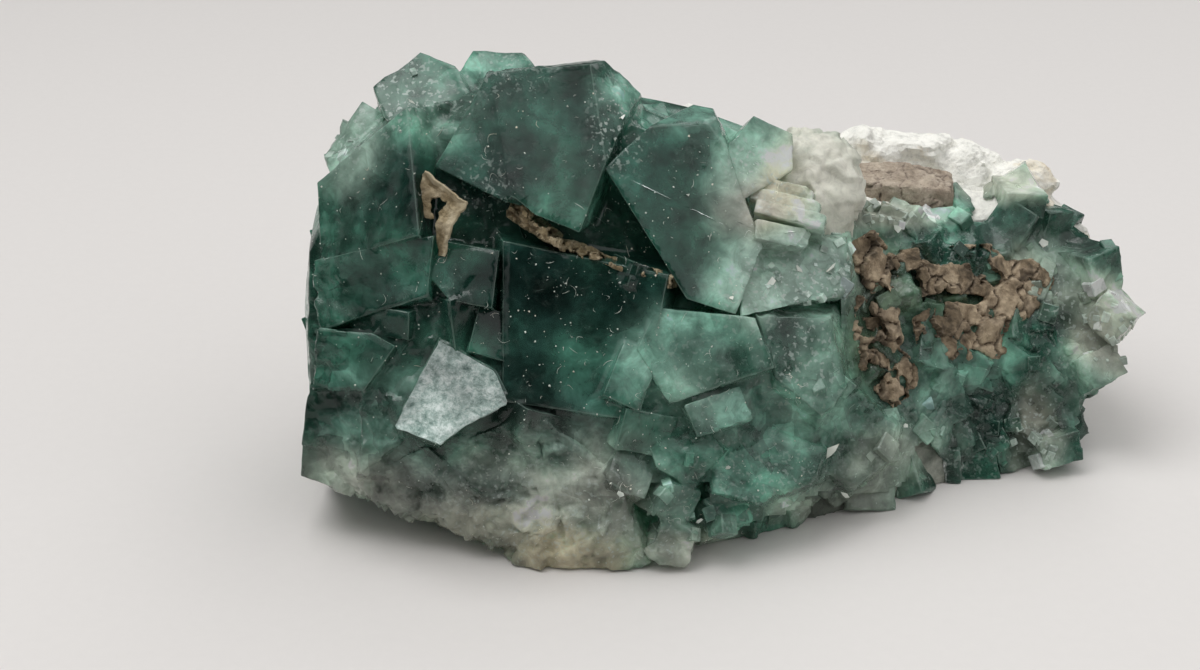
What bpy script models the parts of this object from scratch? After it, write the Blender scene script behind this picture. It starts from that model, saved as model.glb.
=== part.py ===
# A hand-sized specimen of green fluorite on pale matrix rock.
# Large dark blocks stand at the -X end, small cubes line the +X end, and the
# broken matrix rock forms the back and the underside. +Z is up, -Y is the
# display side, and the origin is on the ground under the middle of the piece.

import math
import random

import bmesh
import bpy
from mathutils import Euler, Matrix, Vector, noise
from mathutils.bvhtree import BVHTree

for old in list(bpy.data.objects):
    bpy.data.objects.remove(old, do_unlink=True)

# Driving dimensions. MM turns the tables, which are in millimetres, into metres.
MM = 0.001
LEAN = math.radians(26.0)  # how far the display face leans back from upright
MIDDLE = Vector((1.85, 25.65, 0.0))  # ground point under the middle, before centring
GAP = 0.3  # clearance between pieces that touch, mm
RING_STEPS = 3  # points along each side of a body section
STATION_STEPS = 1  # sections from one station to the next
ROCK_NOISE = 1.3  # height of the broken relief on back and underside, mm
FRONT_NOISE = 0.4  # the same under the crystals
NOISE_PITCH = 7.5  # width of one lump of that relief, mm
LUMP_POINTS = 14  # corners tried for one broken lump
SEED = 41

# Sections of the whole body across X: x, then (y, z) of the front foot, the
# middle of the display face, the brow, the crest, the middle of the back and
# the heel. Points below z = 0 are planed off by the resting face.
STATIONS = [
    (-44.0, (11, 10), (13, 20), (17.5, 29), (25, 30), (31, 22), (30, 12)),
    (-41.0, (8, 7), (10.5, 20), (18, 34.5), (29, 35.5), (36, 22), (35, 7)),
    (-34.0, (6, 4), (8.5, 20), (19, 41), (34, 41), (41, 22), (40, 2)),
    (-26.0, (4, 1), (7, 19), (20, 44), (36, 42.5), (44, 22), (43, -1)),
    (-18.0, (3, -1), (6.5, 18), (21, 45), (37, 42), (45.5, 22), (44.5, -1)),
    (-10.0, (3, -1), (7, 18), (21.5, 43), (38.5, 39.5), (46.5, 22), (45.5, -1)),
    (-2.0, (5, -1), (9, 17), (22, 39.5), (40, 36.5), (47, 21), (46.5, -1)),
    (6.0, (8, -1), (12.5, 17), (24, 34), (42, 33), (48, 20), (47.5, -1)),
    (14.0, (12, -1), (16.5, 16), (27, 28.5), (44, 29.5), (50, 19), (48.5, -1)),
    (22.0, (16, -1), (20.5, 15), (31, 27), (46.5, 29), (50.5, 18), (49.5, -1)),
    (30.0, (20, -1), (24, 15), (34, 26.5), (47.5, 28.5), (50.5, 17), (49.5, -1)),
    (37.0, (22.5, -1), (27, 14), (36, 26), (46, 27), (49, 16), (48, -1)),
    (41.0, (24.5, 1), (28.5, 14), (37, 24), (43.5, 25), (47, 16), (46, 1)),
    (44.5, (29, 9), (31, 15), (36, 21), (40, 22), (43, 16), (42, 9)),
]

# Where green crystal gives way to matrix rock: x, then y at z = -6, 4, 24, 56.
CONTACT = [
    (-52.0, (24, 28, 31, 32)),
    (-14.0, (22, 27, 34, 44)),
    (4.0, (4, 14, 34, 44)),
    (12.0, (5, 13, 34, 38)),
    (20.0, (8, 16, 34, 36)),
    (34.0, (16, 23, 36, 39)),
    (54.0, (26, 35, 44, 46)),
]
CONTACT_LEVELS = (-6.0, 4.0, 24.0, 56.0)

# Broken knob of matrix rock at the back of the +X end: centre and half sizes.
KNOB = [
    ((18.6, 44.6, 29.4), (4.4, 4.2, 3.8)),
    ((23.6, 46.4, 30.0), (5.2, 4.6, 4.4)),
    ((30.2, 46.0, 27.6), (5.6, 4.6, 3.6)),
    ((36.6, 43.8, 26.4), (5.0, 4.2, 2.8)),
]

# Ledges and lumps that stand out of the broken back and flanks: centre, half sizes.
LEDGES = [
    ((-34.0, 38.5, 30.0), (6.0, 4.0, 5.0)),
    ((-20.0, 43.0, 33.0), (8.0, 3.6, 6.0)),
    ((-5.0, 45.0, 27.0), (7.0, 3.2, 8.0)),
    ((9.0, 46.5, 24.0), (8.0, 3.4, 5.0)),
    ((26.0, 48.5, 20.0), (9.0, 3.0, 5.5)),
    ((38.0, 46.0, 11.0), (5.0, 3.4, 7.0)),
    ((14.0, 48.0, 8.0), (9.0, 2.8, 5.0)),
    ((-12.0, 45.5, 9.0), (8.0, 3.0, 6.0)),
    ((-30.0, 42.0, 12.0), (7.0, 3.2, 7.0)),
    ((-39.0, 33.0, 12.0), (5.0, 5.0, 5.0)),
    ((40.0, 40.0, 5.0), (4.0, 6.0, 4.0)),
]
# Pits where pieces broke out of the rock: centre, half sizes.
PITS = [
    ((-27.0, 46.5, 22.0), (6.0, 3.4, 5.0)),
    ((2.0, 49.5, 14.0), (7.0, 3.2, 4.6)),
    ((20.0, 52.0, 14.0), (6.0, 3.2, 4.0)),
    ((-4.0, 43.5, 38.0), (6.0, 4.0, 3.0)),
]

# Large crystals, each bounded by flat faces. A corner is (across, up, out) on
# the display face, in mm; a face is named by three of its corners. The root is
# how far out a crystal ends inside the body.
BLOCKS = {
    "west_block": {
        "inside": (-36, 38, -4),
        "root": -15,
        "corners": {
            "p": (-33, 48.5, 3), "q": (-43, 41, -2), "r": (-42.5, 32.5, 0),
            "s": (-31.5, 35, 6), "t": (-30, 43.5, 1), "u": (-36, 42.5, -14),
            "v": (-41, 36, -14), "w": (-38, 30, -12), "x": (-26, 38, -14),
            "y": (-28, 37, -9),
        },
        "faces": ("pqs", "pst", "pqu", "qrv", "rsw", "vwx", "tsy"),
    },
    "centre_block": {
        "inside": (-18, 43, -4),
        "root": -13,
        "corners": {
            "a": (-24.5, 52, 3), "b": (-14, 53, 2), "c": (-13.5, 54, -2),
            "d": (-30.5, 41.5, 3), "e": (-26, 38, 5), "f": (-21, 37.5, 7),
            "g": (-12, 34, 7), "h": (-13, 44, 4.6), "i": (-10, 48, 1),
            "j": (-8.5, 50.5, -3), "k": (-29, 45, -10), "l": (-27, 41, -4),
            "m": (-17, 38, 0), "n": (-9, 44, -12), "o": (-14, 51.5, -12),
            "p": (-9, 38, -10),
        },
        "faces": ("abg", "adf", "bhi", "abc", "bij", "cjo", "aco", "ijn", "gjp",
                  "adk", "del", "fgm"),
    },
    "east_block": {
        "inside": (-4, 38, -4),
        "root": -13,
        "corners": {
            "a": (-12.5, 42, 4), "b": (-8, 46.5, 2), "c": (-1.5, 47, 0),
            "d": (-3, 49.5, -4), "e": (2, 48, -4), "f": (0.3, 44.2, 0),
            "g": (4, 34, 0.7), "h": (1, 27, 2.8), "i": (-4, 28.5, 4),
            "j": (3.5, 40, -10), "k": (3, 30, -8), "l": (-2, 29, -8),
            "m": (-8, 36, -10), "n": (-9, 44, -12), "o": (0, 45, -14),
            "p": (-6, 46.5, -12),
        },
        "faces": ("bfi", "bcd", "cef", "fgj", "ghk", "hil", "iam", "abn", "deo", "bdp"),
    },
    "dark_face": {
        "inside": (-15, 25, -2),
        "root": -9,
        "corners": {
            "a": (-23, 34.5, 4.6), "b": (-6, 31, 4.6), "c": (-9, 16, 4.2),
            "d": (-23, 18, 4.2), "e": (-15, 36, -6), "f": (-4, 24, -8),
            "g": (-15, 14, -8), "h": (-26, 26, -8), "i": (-15, 25, -10),
        },
        "faces": ("abc", "abe", "bcf", "cdg", "adh", "fgh"),
    },
    "pale_twin_left": {
        "inside": (-32, 51, -10),
        "root": -18,
        "corners": {
            "a": (-37.5, 51.5, -6), "b": (-36, 48, -4), "c": (-32.5, 55.5, -7),
            "d": (-28.5, 54, -6), "e": (-26.5, 49, -4), "f": (-38, 50, -16),
            "g": (-34, 51.5, -18), "h": (-30, 51, -18), "i": (-26, 49, -18),
            "j": (-32, 44, -4), "k": (-32, 44, -16),
        },
        "faces": ("cbe", "acg", "abf", "cdh", "dei", "gik", "bjk"),
    },
    "pale_twin_right": {
        "inside": (-24.5, 52, -13),
        "root": -18,
        "corners": {
            "a": (-28.5, 53.5, -8), "b": (-27, 56.2, -10), "c": (-21.5, 55.8, -10),
            "d": (-20, 54, -8), "e": (-25, 48, -6), "f": (-29, 52, -18),
            "g": (-24, 54.5, -19), "h": (-19, 52, -18), "i": (-24, 46, -15),
        },
        "faces": ("bce", "abf", "bcg", "cdh", "fgi", "aef", "deh"),
    },
    "ledge_under_west": {
        "inside": (-37, 29, -4),
        "root": -12,
        "corners": {
            "a": (-43, 32.7, 0.6), "b": (-30, 35, 5.4), "c": (-30.5, 28.5, 4),
            "d": (-42.3, 25.3, 1), "e": (-38, 34, -12), "f": (-41.5, 29, -12),
            "g": (-36, 23, -10), "h": (-28, 30, -8), "i": (-34, 29, -14),
        },
        "faces": ("abd", "abe", "adf", "dcg", "bch", "egi"),
    },
    "step_high": {
        "inside": (-38, 22, -4),
        "root": -9,
        "corners": {
            "a": (-42.3, 25.5, 2.2), "b": (-36.5, 25, 3.6), "c": (-34, 23.5, 3.4),
            "d": (-37.5, 19, 3), "e": (-43.3, 19.2, 1.6), "f": (-40, 24, -8),
            "g": (-41.5, 21, -10), "h": (-38, 18, -8), "i": (-33, 21, -6),
        },
        "faces": ("abe", "abf", "aeg", "edh", "bci", "cdi", "ghi"),
    },
    "step_low": {
        "inside": (-41, 16, -5),
        "root": -12,
        "corners": {
            "a": (-43.6, 20, -0.4), "b": (-36, 20, 2.6), "c": (-37.5, 13, 2.2),
            "d": (-44.6, 13.2, -1.6), "e": (-41, 20.5, -12), "f": (-43, 16, -12),
            "g": (-41, 11, -10), "h": (-36, 16, -9),
        },
        "faces": ("abd", "abe", "adf", "dcg", "bch", "efg"),
    },
    "step_foot": {
        "inside": (-41, 11, -8),
        "root": -15,
        "corners": {
            "a": (-44.6, 13.4, -2.4), "b": (-36, 14, 1.6), "c": (-38, 7.5, -0.6),
            "d": (-45, 9.8, -4), "e": (-41, 15, -14), "f": (-43.6, 11, -16),
            "g": (-40, 7.5, -13), "h": (-35, 11, -12),
        },
        "faces": ("abd", "abe", "adf", "dcg", "bch", "efg"),
    },
    "mottled_face": {
        "inside": (-32, 23, -3),
        "root": -8,
        "corners": {
            "a": (-37.5, 24, 2.6), "b": (-30.5, 31.5, 3.4), "c": (-24, 29, 3.8),
            "d": (-24, 21, 3), "e": (-34, 13.5, 2.4), "f": (-38, 15, 1.6),
            "g": (-36, 29, -8), "h": (-27, 32, -8), "i": (-22, 26, -8),
            "j": (-30, 14, -8), "k": (-39, 20, -8), "l": (-31, 22, -10),
        },
        "faces": ("ace", "abg", "bch", "cdi", "dej", "fak", "gij"),
    },
    "blue_face": {
        "inside": (-27, 31, -2),
        "root": -6,
        "corners": {
            "a": (-31, 31.2, 4.2), "b": (-29, 34.5, 3.8), "c": (-23.3, 33.5, 4.8),
            "d": (-24, 27.5, 5.4), "e": (-28.5, 28.5, 5), "f": (-30, 33, -6),
            "g": (-26, 35, -6), "h": (-22.5, 30, -6), "i": (-26, 27, -6),
            "j": (-27, 31, -8),
        },
        "faces": ("ace", "abf", "bcg", "cdh", "dei", "aei", "fhj"),
    },
    "frosted_kite": {
        "inside": (-28, 18, 0),
        "root": -6,
        "corners": {
            "a": (-29.6, 24.6, 3.4), "b": (-22.2, 18, 4.9), "c": (-26.7, 15.5, 6.3),
            "d": (-29.2, 13.6, 7.2), "e": (-34, 15.4, 6.2), "f": (-26, 24, -5),
            "g": (-33, 20, -5), "h": (-22.5, 14, -5), "i": (-31, 12, -4),
            "j": (-28, 18, -7), "k": (-23.9, 21.5, 4.2),
        },
        "faces": ("ade", "akf", "kbh", "aeg", "dei", "cdi", "bch", "fgj"),
    },
    "milky_cube": {
        "inside": (-2, 23, -3),
        "root": -8,
        "corners": {
            "a": (-7.2, 27.6, 4.4), "b": (3, 26.6, 2.6), "c": (5.2, 21.5, 2),
            "d": (-5.8, 17.8, 4.2), "e": (-9.2, 23.4, 4.8), "f": (-3, 28, -6),
            "g": (6, 24, -8), "h": (-1, 17, -7), "i": (-9, 19, -4),
            "j": (-9, 27, -4), "k": (-2, 22, -9),
        },
        "faces": ("abd", "abf", "bcg", "cdh", "dei", "eaj", "fgk"),
    },
    "clear_cube": {
        "inside": (8.5, 21, -4),
        "root": -11,
        "corners": {
            "a": (3.4, 26.8, 1.9), "b": (11.2, 26.6, -1.4), "c": (13.4, 19.4, -2.6),
            "d": (10.4, 16.2, -0.4), "e": (5.4, 20.4, 1.4), "f": (8, 29, -8),
            "g": (15, 22, -9), "h": (10, 13.5, -7), "i": (4.6, 16, -6),
        },
        "faces": ("abd", "abf", "bcg", "cdh", "dei", "aei"),
    },
    "low_plate": {
        "inside": (4, 10.6, -2),
        "root": -9,
        "corners": {
            "a": (-1.4, 11.6, 1.2), "b": (4.4, 14.8, 0), "c": (11, 12.8, -2.6),
            "d": (9.6, 9.4, -1.2), "e": (3.4, 7.2, 1.8), "f": (-1.2, 8.4, 2.2),
            "g": (3, 16, -6), "h": (8, 15, -7), "i": (13, 10, -8), "j": (5, 6, -5),
            "k": (-3, 9, -5),
        },
        "faces": ("ace", "abg", "bch", "cdi", "dej", "efj", "afk"),
    },
    "low_wedge": {
        "inside": (-4.4, 12.4, 0),
        "root": -7,
        "corners": {
            "a": (-8.4, 14.2, 2.6), "b": (-2.8, 16, 2), "c": (0, 12.8, 2.6),
            "d": (-3.6, 8.6, 1.8), "e": (-7, 11.2, 3.8), "f": (-4, 17, -5),
            "g": (2, 13, -5), "h": (-3, 7, -5), "i": (-9, 11, -5),
        },
        "faces": ("bce", "cde", "abf", "bcg", "cdh", "dei", "aei"),
    },
    "druse_shoulder": {
        "inside": (14.4, 13.6, -8),
        "root": -14,
        "corners": {
            "a": (10.6, 16.6, -3.6), "b": (14.8, 18.6, -5), "c": (19.2, 15, -7.2),
            "d": (18.6, 11.2, -7.2), "e": (14.4, 8.4, -5), "f": (10.6, 10.6, -3.2),
            "g": (12, 19.4, -11), "h": (19, 18, -12), "i": (21, 12, -13),
            "j": (16, 7.4, -12), "k": (11, 7.6, -10), "l": (8.6, 13, -10),
        },
        "faces": ("ace", "abg", "bch", "cdi", "dej", "efk", "afl"),
    },
    "mint_ledge": {
        "inside": (8, 31, -6),
        "root": -12,
        "corners": {
            "a": (2.2, 32.4, 0.2), "b": (5.4, 35, -2.6), "c": (13.6, 35.2, -5.4),
            "d": (13.8, 29.4, -3), "e": (1.6, 26.8, 2.4), "f": (8, 27.4, -8),
            "g": (0.4, 30, -6), "h": (9, 37, -10), "i": (15, 32, -10), "j": (3, 35, -8),
        },
        "faces": ("bce", "def", "aeg", "abj", "bch", "cdi"),
    },
    "sparkling_cube": {
        "inside": (4, 42, -6),
        "root": -13,
        "corners": {
            "a": (0.4, 44.6, -1.4), "b": (0.8, 41.4, -0.4), "c": (2.9, 39.6, -0.4),
            "d": (7.6, 42.4, -3), "e": (7.6, 46.4, -5), "f": (3.4, 48.3, -4.4),
            "g": (1, 46, -12), "h": (7, 44, -14), "i": (2, 39, -12),
            "j": (5, 48, -12),
        },
        "faces": ("abd", "afg", "feh", "deh", "cdi", "abi", "fej", "ghi"),
    },
    "base_left": {
        "inside": (-33, 9, -4),
        "root": -12,
        "corners": {
            "a": (-40.2, 8.6, -3), "b": (-31, 13.4, 3.4), "c": (-25, 8, 2.6),
            "d": (-25.5, 3, -0.6), "e": (-34.8, 6.4, -2), "f": (-36, 12, -10),
            "g": (-38, 7.5, -14), "h": (-28, 3, -10), "i": (-24, 10, -8),
        },
        "faces": ("abc", "abf", "acd", "aeg", "edh", "cdi", "bci", "fgi"),
    },
    "base_centre": {
        "inside": (-21, 9, -4),
        "root": -8,
        "corners": {
            "a": (-29.5, 13, 4.4), "b": (-19.7, 17, 4.6), "c": (-12.2, 11, 3.6),
            "d": (-17, 4.5, 1.4), "e": (-25, 3.6, 1), "f": (-24, 15, -8),
            "g": (-14, 13, -8), "h": (-30, 9, -8), "i": (-20, 1, -6),
            "j": (-12, 6, -6),
        },
        "faces": ("abd", "bcd", "ade", "abf", "bcg", "aeh", "edi", "cdj", "fgi"),
    },
    "base_toe": {
        "inside": (-14, 5, -4),
        "root": -10,
        "corners": {
            "a": (-20, 9, 2.4), "b": (-11, 10, 3), "c": (-8.2, 1, 0.4),
            "d": (-14.5, -0.4, 0.2), "e": (-22, 1.4, -0.4), "f": (-15, 12, -8),
            "g": (-7.5, 6, -6), "h": (-24, 5, -8), "i": (-15, 2, -12),
        },
        "faces": ("abd", "bcd", "ade", "abf", "bcg", "aeh", "fgi"),
    },
}

# Smaller crystals as plain cubes and bricks: (across, up, out) of the middle,
# sizes, and turns in degrees about the across, out and up directions.
BRICKS = [
    ((-40.6, 46.6, -13), (3.6, 3.6, 5), (20, 15, 12)),
    ((-38.4, 47.8, -13), (3.4, 3.6, 5), (-15, 30, -20)),
    ((-41.6, 43.6, -12), (3, 4.4, 6), (10, -20, 5)),
    ((-36, 46.4, -16), (6, 5, 6), (25, 20, 35)),
    ((-17, 49.6, -13), (7, 5, 8), (-22, 12, 8)),
    ((-22, 48, -18), (7, 6, 6), (10, 30, 25)),
    ((-9, 46.4, -14), (7, 5, 7), (-28, -10, 15)),
    ((-29, 46, -21), (8, 6, 7), (-30, 15, -15)),
    ((-1, 45, -13), (6, 5, 7), (-20, 25, -10)),
    ((4.5, 43.4, -14), (6, 4.4, 6), (-12, -20, 20)),
    ((10.5, 43.2, -13.5), (5, 3.6, 6), (-24, 16, 34)),
    ((-41.6, 33, -12), (5, 8, 9), (0, -15, 6)),
    ((-42, 24, -13), (4, 8, 8), (5, -22, -8)),
    ((-42, 16.5, -16), (5, 6, 8), (-5, -10, 12)),
    ((-40.4, 38, -18), (6, 6, 7), (15, -30, -5)),
    ((-41.5, 28, -20), (4.6, 6, 6), (20, -35, 15)),
    ((6.2, 39.2, -5.4), (7.5, 1.5, 8), (-18, 14, -8)),
    ((6.8, 37.8, -4.6), (7.5, 1.5, 8), (-18, 14, -8)),
    ((7.2, 36.4, -4), (7.5, 1.6, 8), (-18, 14, -8)),
    ((5.2, 34.6, -3), (6, 2.2, 7), (-14, 10, 14)),
    ((-27.4, 26.6, 0.4), (6, 6, 7), (8, -12, 30)),
    ((-25, 24.4, 0.8), (4, 5, 7), (-10, 16, 12)),
    ((-34.6, 26.8, 0.2), (7, 3, 6), (12, 8, -24)),
    ((-20.8, 16, 1.8), (5, 3.6, 6), (18, 12, 40)),
    ((-36, 13, -1.6), (6, 4, 6), (14, -8, 20)),
    ((-9.6, 31.2, 2.8), (3.4, 2.6, 4), (16, 12, 38)),
    ((-10.6, 20.2, 2.2), (4, 6, 6), (-8, 24, 12)),
    ((-9.2, 15.4, 1.2), (6, 4.4, 6), (14, 10, 24)),
    ((-10.8, 10.2, 0.6), (4.6, 4.6, 6), (-12, 24, 18)),
    ((-1.4, 16.2, 0.6), (6.4, 3.6, 6), (-14, -18, 18)),
    ((-6.4, 8.2, -0.4), (4.6, 4.4, 6), (24, 14, 40)),
    ((-5.4, 3.8, -1.8), (4.4, 4.4, 6), (18, 20, 8)),
    ((-0.6, 5.6, -3), (4.8, 4, 6), (-20, -16, 32)),
    ((45.7, 27, -18.6), (4.4, 4.4, 5), (12, 44, -20)),
    ((43.4, 20.6, -19.6), (5, 4, 6), (-16, -24, 20)),
    ((43.4, 32.6, -20.6), (4.6, 5, 6), (14, -20, 24)),
    ((38.6, 12.2, -19.4), (5, 3.6, 6), (10, -14, 12)),
]

# A smooth pale lump beside the small crystals: middle (across, up, out), half sizes.
LUMP = ((10.4, 40.4, -10.4), (4.6, 6.4, 4.0))

# Areas set with small crystals: an outline (across, up) on the display face,
# the range of cube edges, the least spacing, and how many places are tried.
DRUSE = [
    (((9, 35), (14, 34), (30, 41), (42, 44.5), (46.5, 37), (48, 29), (44, 19),
      (40.5, 12), (33, 10), (20, 7.6), (9, 6.6), (6, 12), (8, 24)), (2.6, 5.2), 3.3, 1500),
    (((2.4, 32.4), (13.8, 36), (14.2, 30), (4.4, 27.2)), (1.6, 2.6), 2.6, 120),
    (((-8, 17), (-5, 4), (3, 2.5), (9, 4), (8, 20), (4, 20)), (2.0, 3.2), 3.2, 200),
]
END_DRUSE = ((25, 43), (3, 25), (2.6, 4.2), 3.6, 400)  # y, z, edges, spacing, tries
RIM_DRUSE = ((14, 42), (28, 34), (2.4, 3.6), 3.0, 400)  # x, y, edges, spacing, tries
DRUSE_SINK = 0.3  # depth of a small cube's middle under the surface, of its edge
DRUSE_TURN = 34.0  # largest tilt of a small cube off the surface, degrees

# Dried clay: plates (across, up, out, half width, half height, turn in degrees).
CLAY_PLATES = [
    (16.8, 31.4, -8.9, 3.6, 4.6, 10), (16.6, 25.6, -8.3, 3.2, 4.6, -8),
    (18.8, 20.6, -9.8, 3.6, 3.4, 30), (22.6, 32.0, -11.7, 4.6, 2.8, 4),
    (29.2, 32.2, -14.5, 4.8, 2.8, -4), (34.8, 29.6, -17.1, 3.6, 4.4, 15),
    (31.4, 25.8, -15.3, 4.6, 3.6, 22), (25.6, 25.4, -12.9, 4.4, 3.2, -12),
]
CLAY_THICK = 1.5  # of a plate, mm
CLAY_SIDES = 6
CLAY_RECEDE = 0.42  # how fast the druse falls back toward +X, per mm across

# A broken slab of clay lying in the hollow on top: eight corners, x y z.
SLAB = [
    (16.8, 35.6, 26.6), (27.4, 35.4, 26.2), (28.2, 39.6, 26.8), (16.4, 39.8, 27.2),
    (17.4, 35.8, 29.4), (27.2, 35.6, 28.6), (28.0, 39.4, 29.4), (16.0, 39.8, 30.4),
    (22.4, 35.4, 29.2), (22.0, 40.2, 30.4),
]

# Ochre clay caught between the large blocks: corners (across, up, out).
FLAP = [
    (-30.8, 41.4, 6.4), (-26.4, 38.4, 7.4), (-28.7, 33.0, 7.0), (-30.2, 37.0, 6.2),
    (-30.8, 41.4, 5.8), (-26.4, 38.4, 6.8), (-28.7, 33.0, 6.3), (-30.2, 37.0, 5.5),
]
SEAM = [
    ((-22, 38, 6.2), (-17.4, 34.6, 6.6), 0.9),
    ((-18, 34.9, 6.4), (-12.4, 32.6, 6.4), 0.8),
    ((-13, 32.8, 6.2), (-5.4, 30.2, 5.6), 0.7),
]


def face_point(across, up, out):
    """Millimetres on the leaning display face to metres in the part's frame."""
    y = up * math.sin(LEAN) - out * math.cos(LEAN)
    z = up * math.cos(LEAN) + out * math.sin(LEAN)
    return (Vector((across, y, z)) - MIDDLE) * MM


def place(x, y, z):
    """Millimetres before centring to metres in the part's frame."""
    return (Vector((x, y, z)) - MIDDLE) * MM


def append(target, piece):
    """Adds one closed shape to a mesh that holds several."""
    mesh = bpy.data.meshes.new("step")
    piece.to_mesh(mesh)
    piece.free()
    target.from_mesh(mesh)
    bpy.data.meshes.remove(mesh)


def cleaved_block(block, grow):
    """A convex crystal: a large cube cut down to the planes of its faces."""
    middle = face_point(*block["inside"])
    piece = bmesh.new()
    bmesh.ops.create_cube(piece, size=60.0 * MM, matrix=Matrix.Translation(middle))
    faces = [[block["corners"][key] for key in face] for face in block["faces"]]
    root = block["root"]
    faces.append([(0.0, 0.0, root), (9.0, 0.0, root), (0.0, 9.0, root)])
    for face in faces:
        one, two, three = (face_point(*corner) for corner in face)
        normal = (two - one).cross(three - one).normalized()
        if normal.dot(middle - one) > 0.0:
            normal.negate()
        bmesh.ops.bisect_plane(
            piece,
            geom=piece.verts[:] + piece.edges[:] + piece.faces[:],
            dist=1e-7,
            plane_co=one + normal * (grow * MM),
            plane_no=normal,
            clear_outer=True,
        )
        rim = [edge for edge in piece.edges if edge.is_boundary]
        bmesh.ops.contextual_create(piece, geom=rim)
    bmesh.ops.recalc_face_normals(piece, faces=piece.faces)
    return piece


def brick_matrix(middle, sizes, turns, grow):
    """Placement of a cube crystal given on the display face."""
    frame = Matrix.Rotation(-LEAN, 3, "X")
    turn = frame @ Euler([math.radians(angle) for angle in turns]).to_matrix()
    across, up, out = sizes
    scale = Matrix.Diagonal(((across + 2 * grow) * MM, (out + 2 * grow) * MM,
                             (up + 2 * grow) * MM, 1.0))
    return Matrix.Translation(face_point(*middle)) @ turn.to_4x4() @ scale


def ring_points(corners, steps):
    """Even points around a closed outline."""
    points = []
    for i, corner in enumerate(corners):
        start = Vector(corner)
        end = Vector(corners[(i + 1) % len(corners)])
        for k in range(steps):
            points.append(start.lerp(end, k / steps))
    return points


def body_rings(grow):
    """All sections of the broken body, with its relief, in metres."""
    rings = []
    for i in range(len(STATIONS) - 1):
        for k in range(STATION_STEPS):
            share = k / STATION_STEPS
            rings.append(mixed_section(STATIONS[i], STATIONS[i + 1], share))
    rings.append(mixed_section(STATIONS[-1], STATIONS[-1], 0.0))
    solid = []
    for x, corners in rings:
        centre = sum(corners, Vector((0.0, 0.0))) / len(corners)
        ring = []
        for number, point in enumerate(ring_points(corners, RING_STEPS)):
            outward = (point - centre).normalized()
            front = number < 2 * RING_STEPS
            height = FRONT_NOISE if front else ROCK_NOISE
            place_in_rock = Vector((x, point.x, point.y)) / NOISE_PITCH
            relief = noise.noise(place_in_rock) * 2.0 * height
            relief += noise.noise(place_in_rock * 2.3) * height
            point = point + outward * (relief + grow)
            ring.append(place(x, point.x, point.y))
        solid.append(ring)
    return solid


def mixed_section(first, second, share):
    """A section between two stations."""
    x = first[0] + (second[0] - first[0]) * share
    corners = [
        Vector(a).lerp(Vector(b), share) for a, b in zip(first[1:], second[1:])
    ]
    return x, corners


def loft(rings, swell):
    """A closed solid through unlike sections, with a low cone at each end."""
    piece = bmesh.new()
    levels = [[piece.verts.new(point) for point in ring] for ring in rings]
    count = len(levels[0])
    for near, far in zip(levels, levels[1:]):
        for i in range(count):
            k = (i + 1) % count
            piece.faces.new((near[i], near[k], far[k], far[i]))
    for level, side in ((levels[0], -1.0), (levels[-1], 1.0)):
        tip = sum((vert.co for vert in level), Vector()) / count
        tip.x += side * swell * MM
        apex = piece.verts.new(tip)
        for i in range(count):
            piece.faces.new((level[i], level[(i + 1) % count], apex))
    bmesh.ops.triangulate(piece, faces=piece.faces)
    bmesh.ops.recalc_face_normals(piece, faces=piece.faces)
    return piece


def body(grow):
    """The whole broken lump, crystal and matrix together."""
    return loft(body_rings(grow), 1.5 + grow)


def behind_contact(shift):
    """Everything behind the wavy surface where crystal meets matrix."""
    piece = bmesh.new()
    far_back = 80.0
    rows = []
    for x, depths in CONTACT:
        points = [(depth + shift, z) for depth, z in zip(depths, CONTACT_LEVELS)]
        points.append((far_back, CONTACT_LEVELS[-1]))
        points.append((far_back, CONTACT_LEVELS[0]))
        rows.append([piece.verts.new(place(x, y, z)) for y, z in points])
    count = len(rows[0])
    for near, far in zip(rows, rows[1:]):
        for i in range(count):
            k = (i + 1) % count
            piece.faces.new((near[i], near[k], far[k], far[i]))
    piece.faces.new(rows[0])
    piece.faces.new(rows[-1])
    bmesh.ops.triangulate(piece, faces=piece.faces)
    bmesh.ops.recalc_face_normals(piece, faces=piece.faces)
    return piece


def rock_lump(middle, halves, grow, seed):
    """A broken lump: the convex hull of points scattered on an ellipsoid."""
    chance = random.Random(seed)
    piece = bmesh.new()
    for _ in range(LUMP_POINTS):
        way = Vector([chance.gauss(0.0, 1.0) for _ in range(3)]).normalized()
        reach = chance.uniform(0.88, 1.08)
        point = [middle[i] + way[i] * (halves[i] * reach + grow) for i in range(3)]
        piece.verts.new(place(*point))
    return hull(piece)


def hull(piece):
    """Closes scattered points into their convex hull."""
    made = bmesh.ops.convex_hull(piece, input=piece.verts)
    spare = [item for item in made["geom_interior"] + made["geom_unused"]
             if isinstance(item, bmesh.types.BMVert) and item.is_valid]
    bmesh.ops.delete(piece, geom=list(set(spare)), context="VERTS")
    bmesh.ops.recalc_face_normals(piece, faces=piece.faces)
    return piece


def hull_of(points, grow):
    """Convex hull of given points, pushed outward from their middle."""
    middle = sum(points, Vector()) / len(points)
    piece = bmesh.new()
    for point in points:
        way = point - middle
        piece.verts.new(point + way.normalized() * (grow * MM))
    return hull(piece)


def inside_outline(across, up, outline):
    """True where a place on the display face lies within an outline."""
    inside = False
    for i, (x1, y1) in enumerate(outline):
        x2, y2 = outline[i - 1]
        if (y1 > up) != (y2 > up) and across < (x2 - x1) * (up - y1) / (y2 - y1) + x1:
            inside = not inside
    return inside


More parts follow.
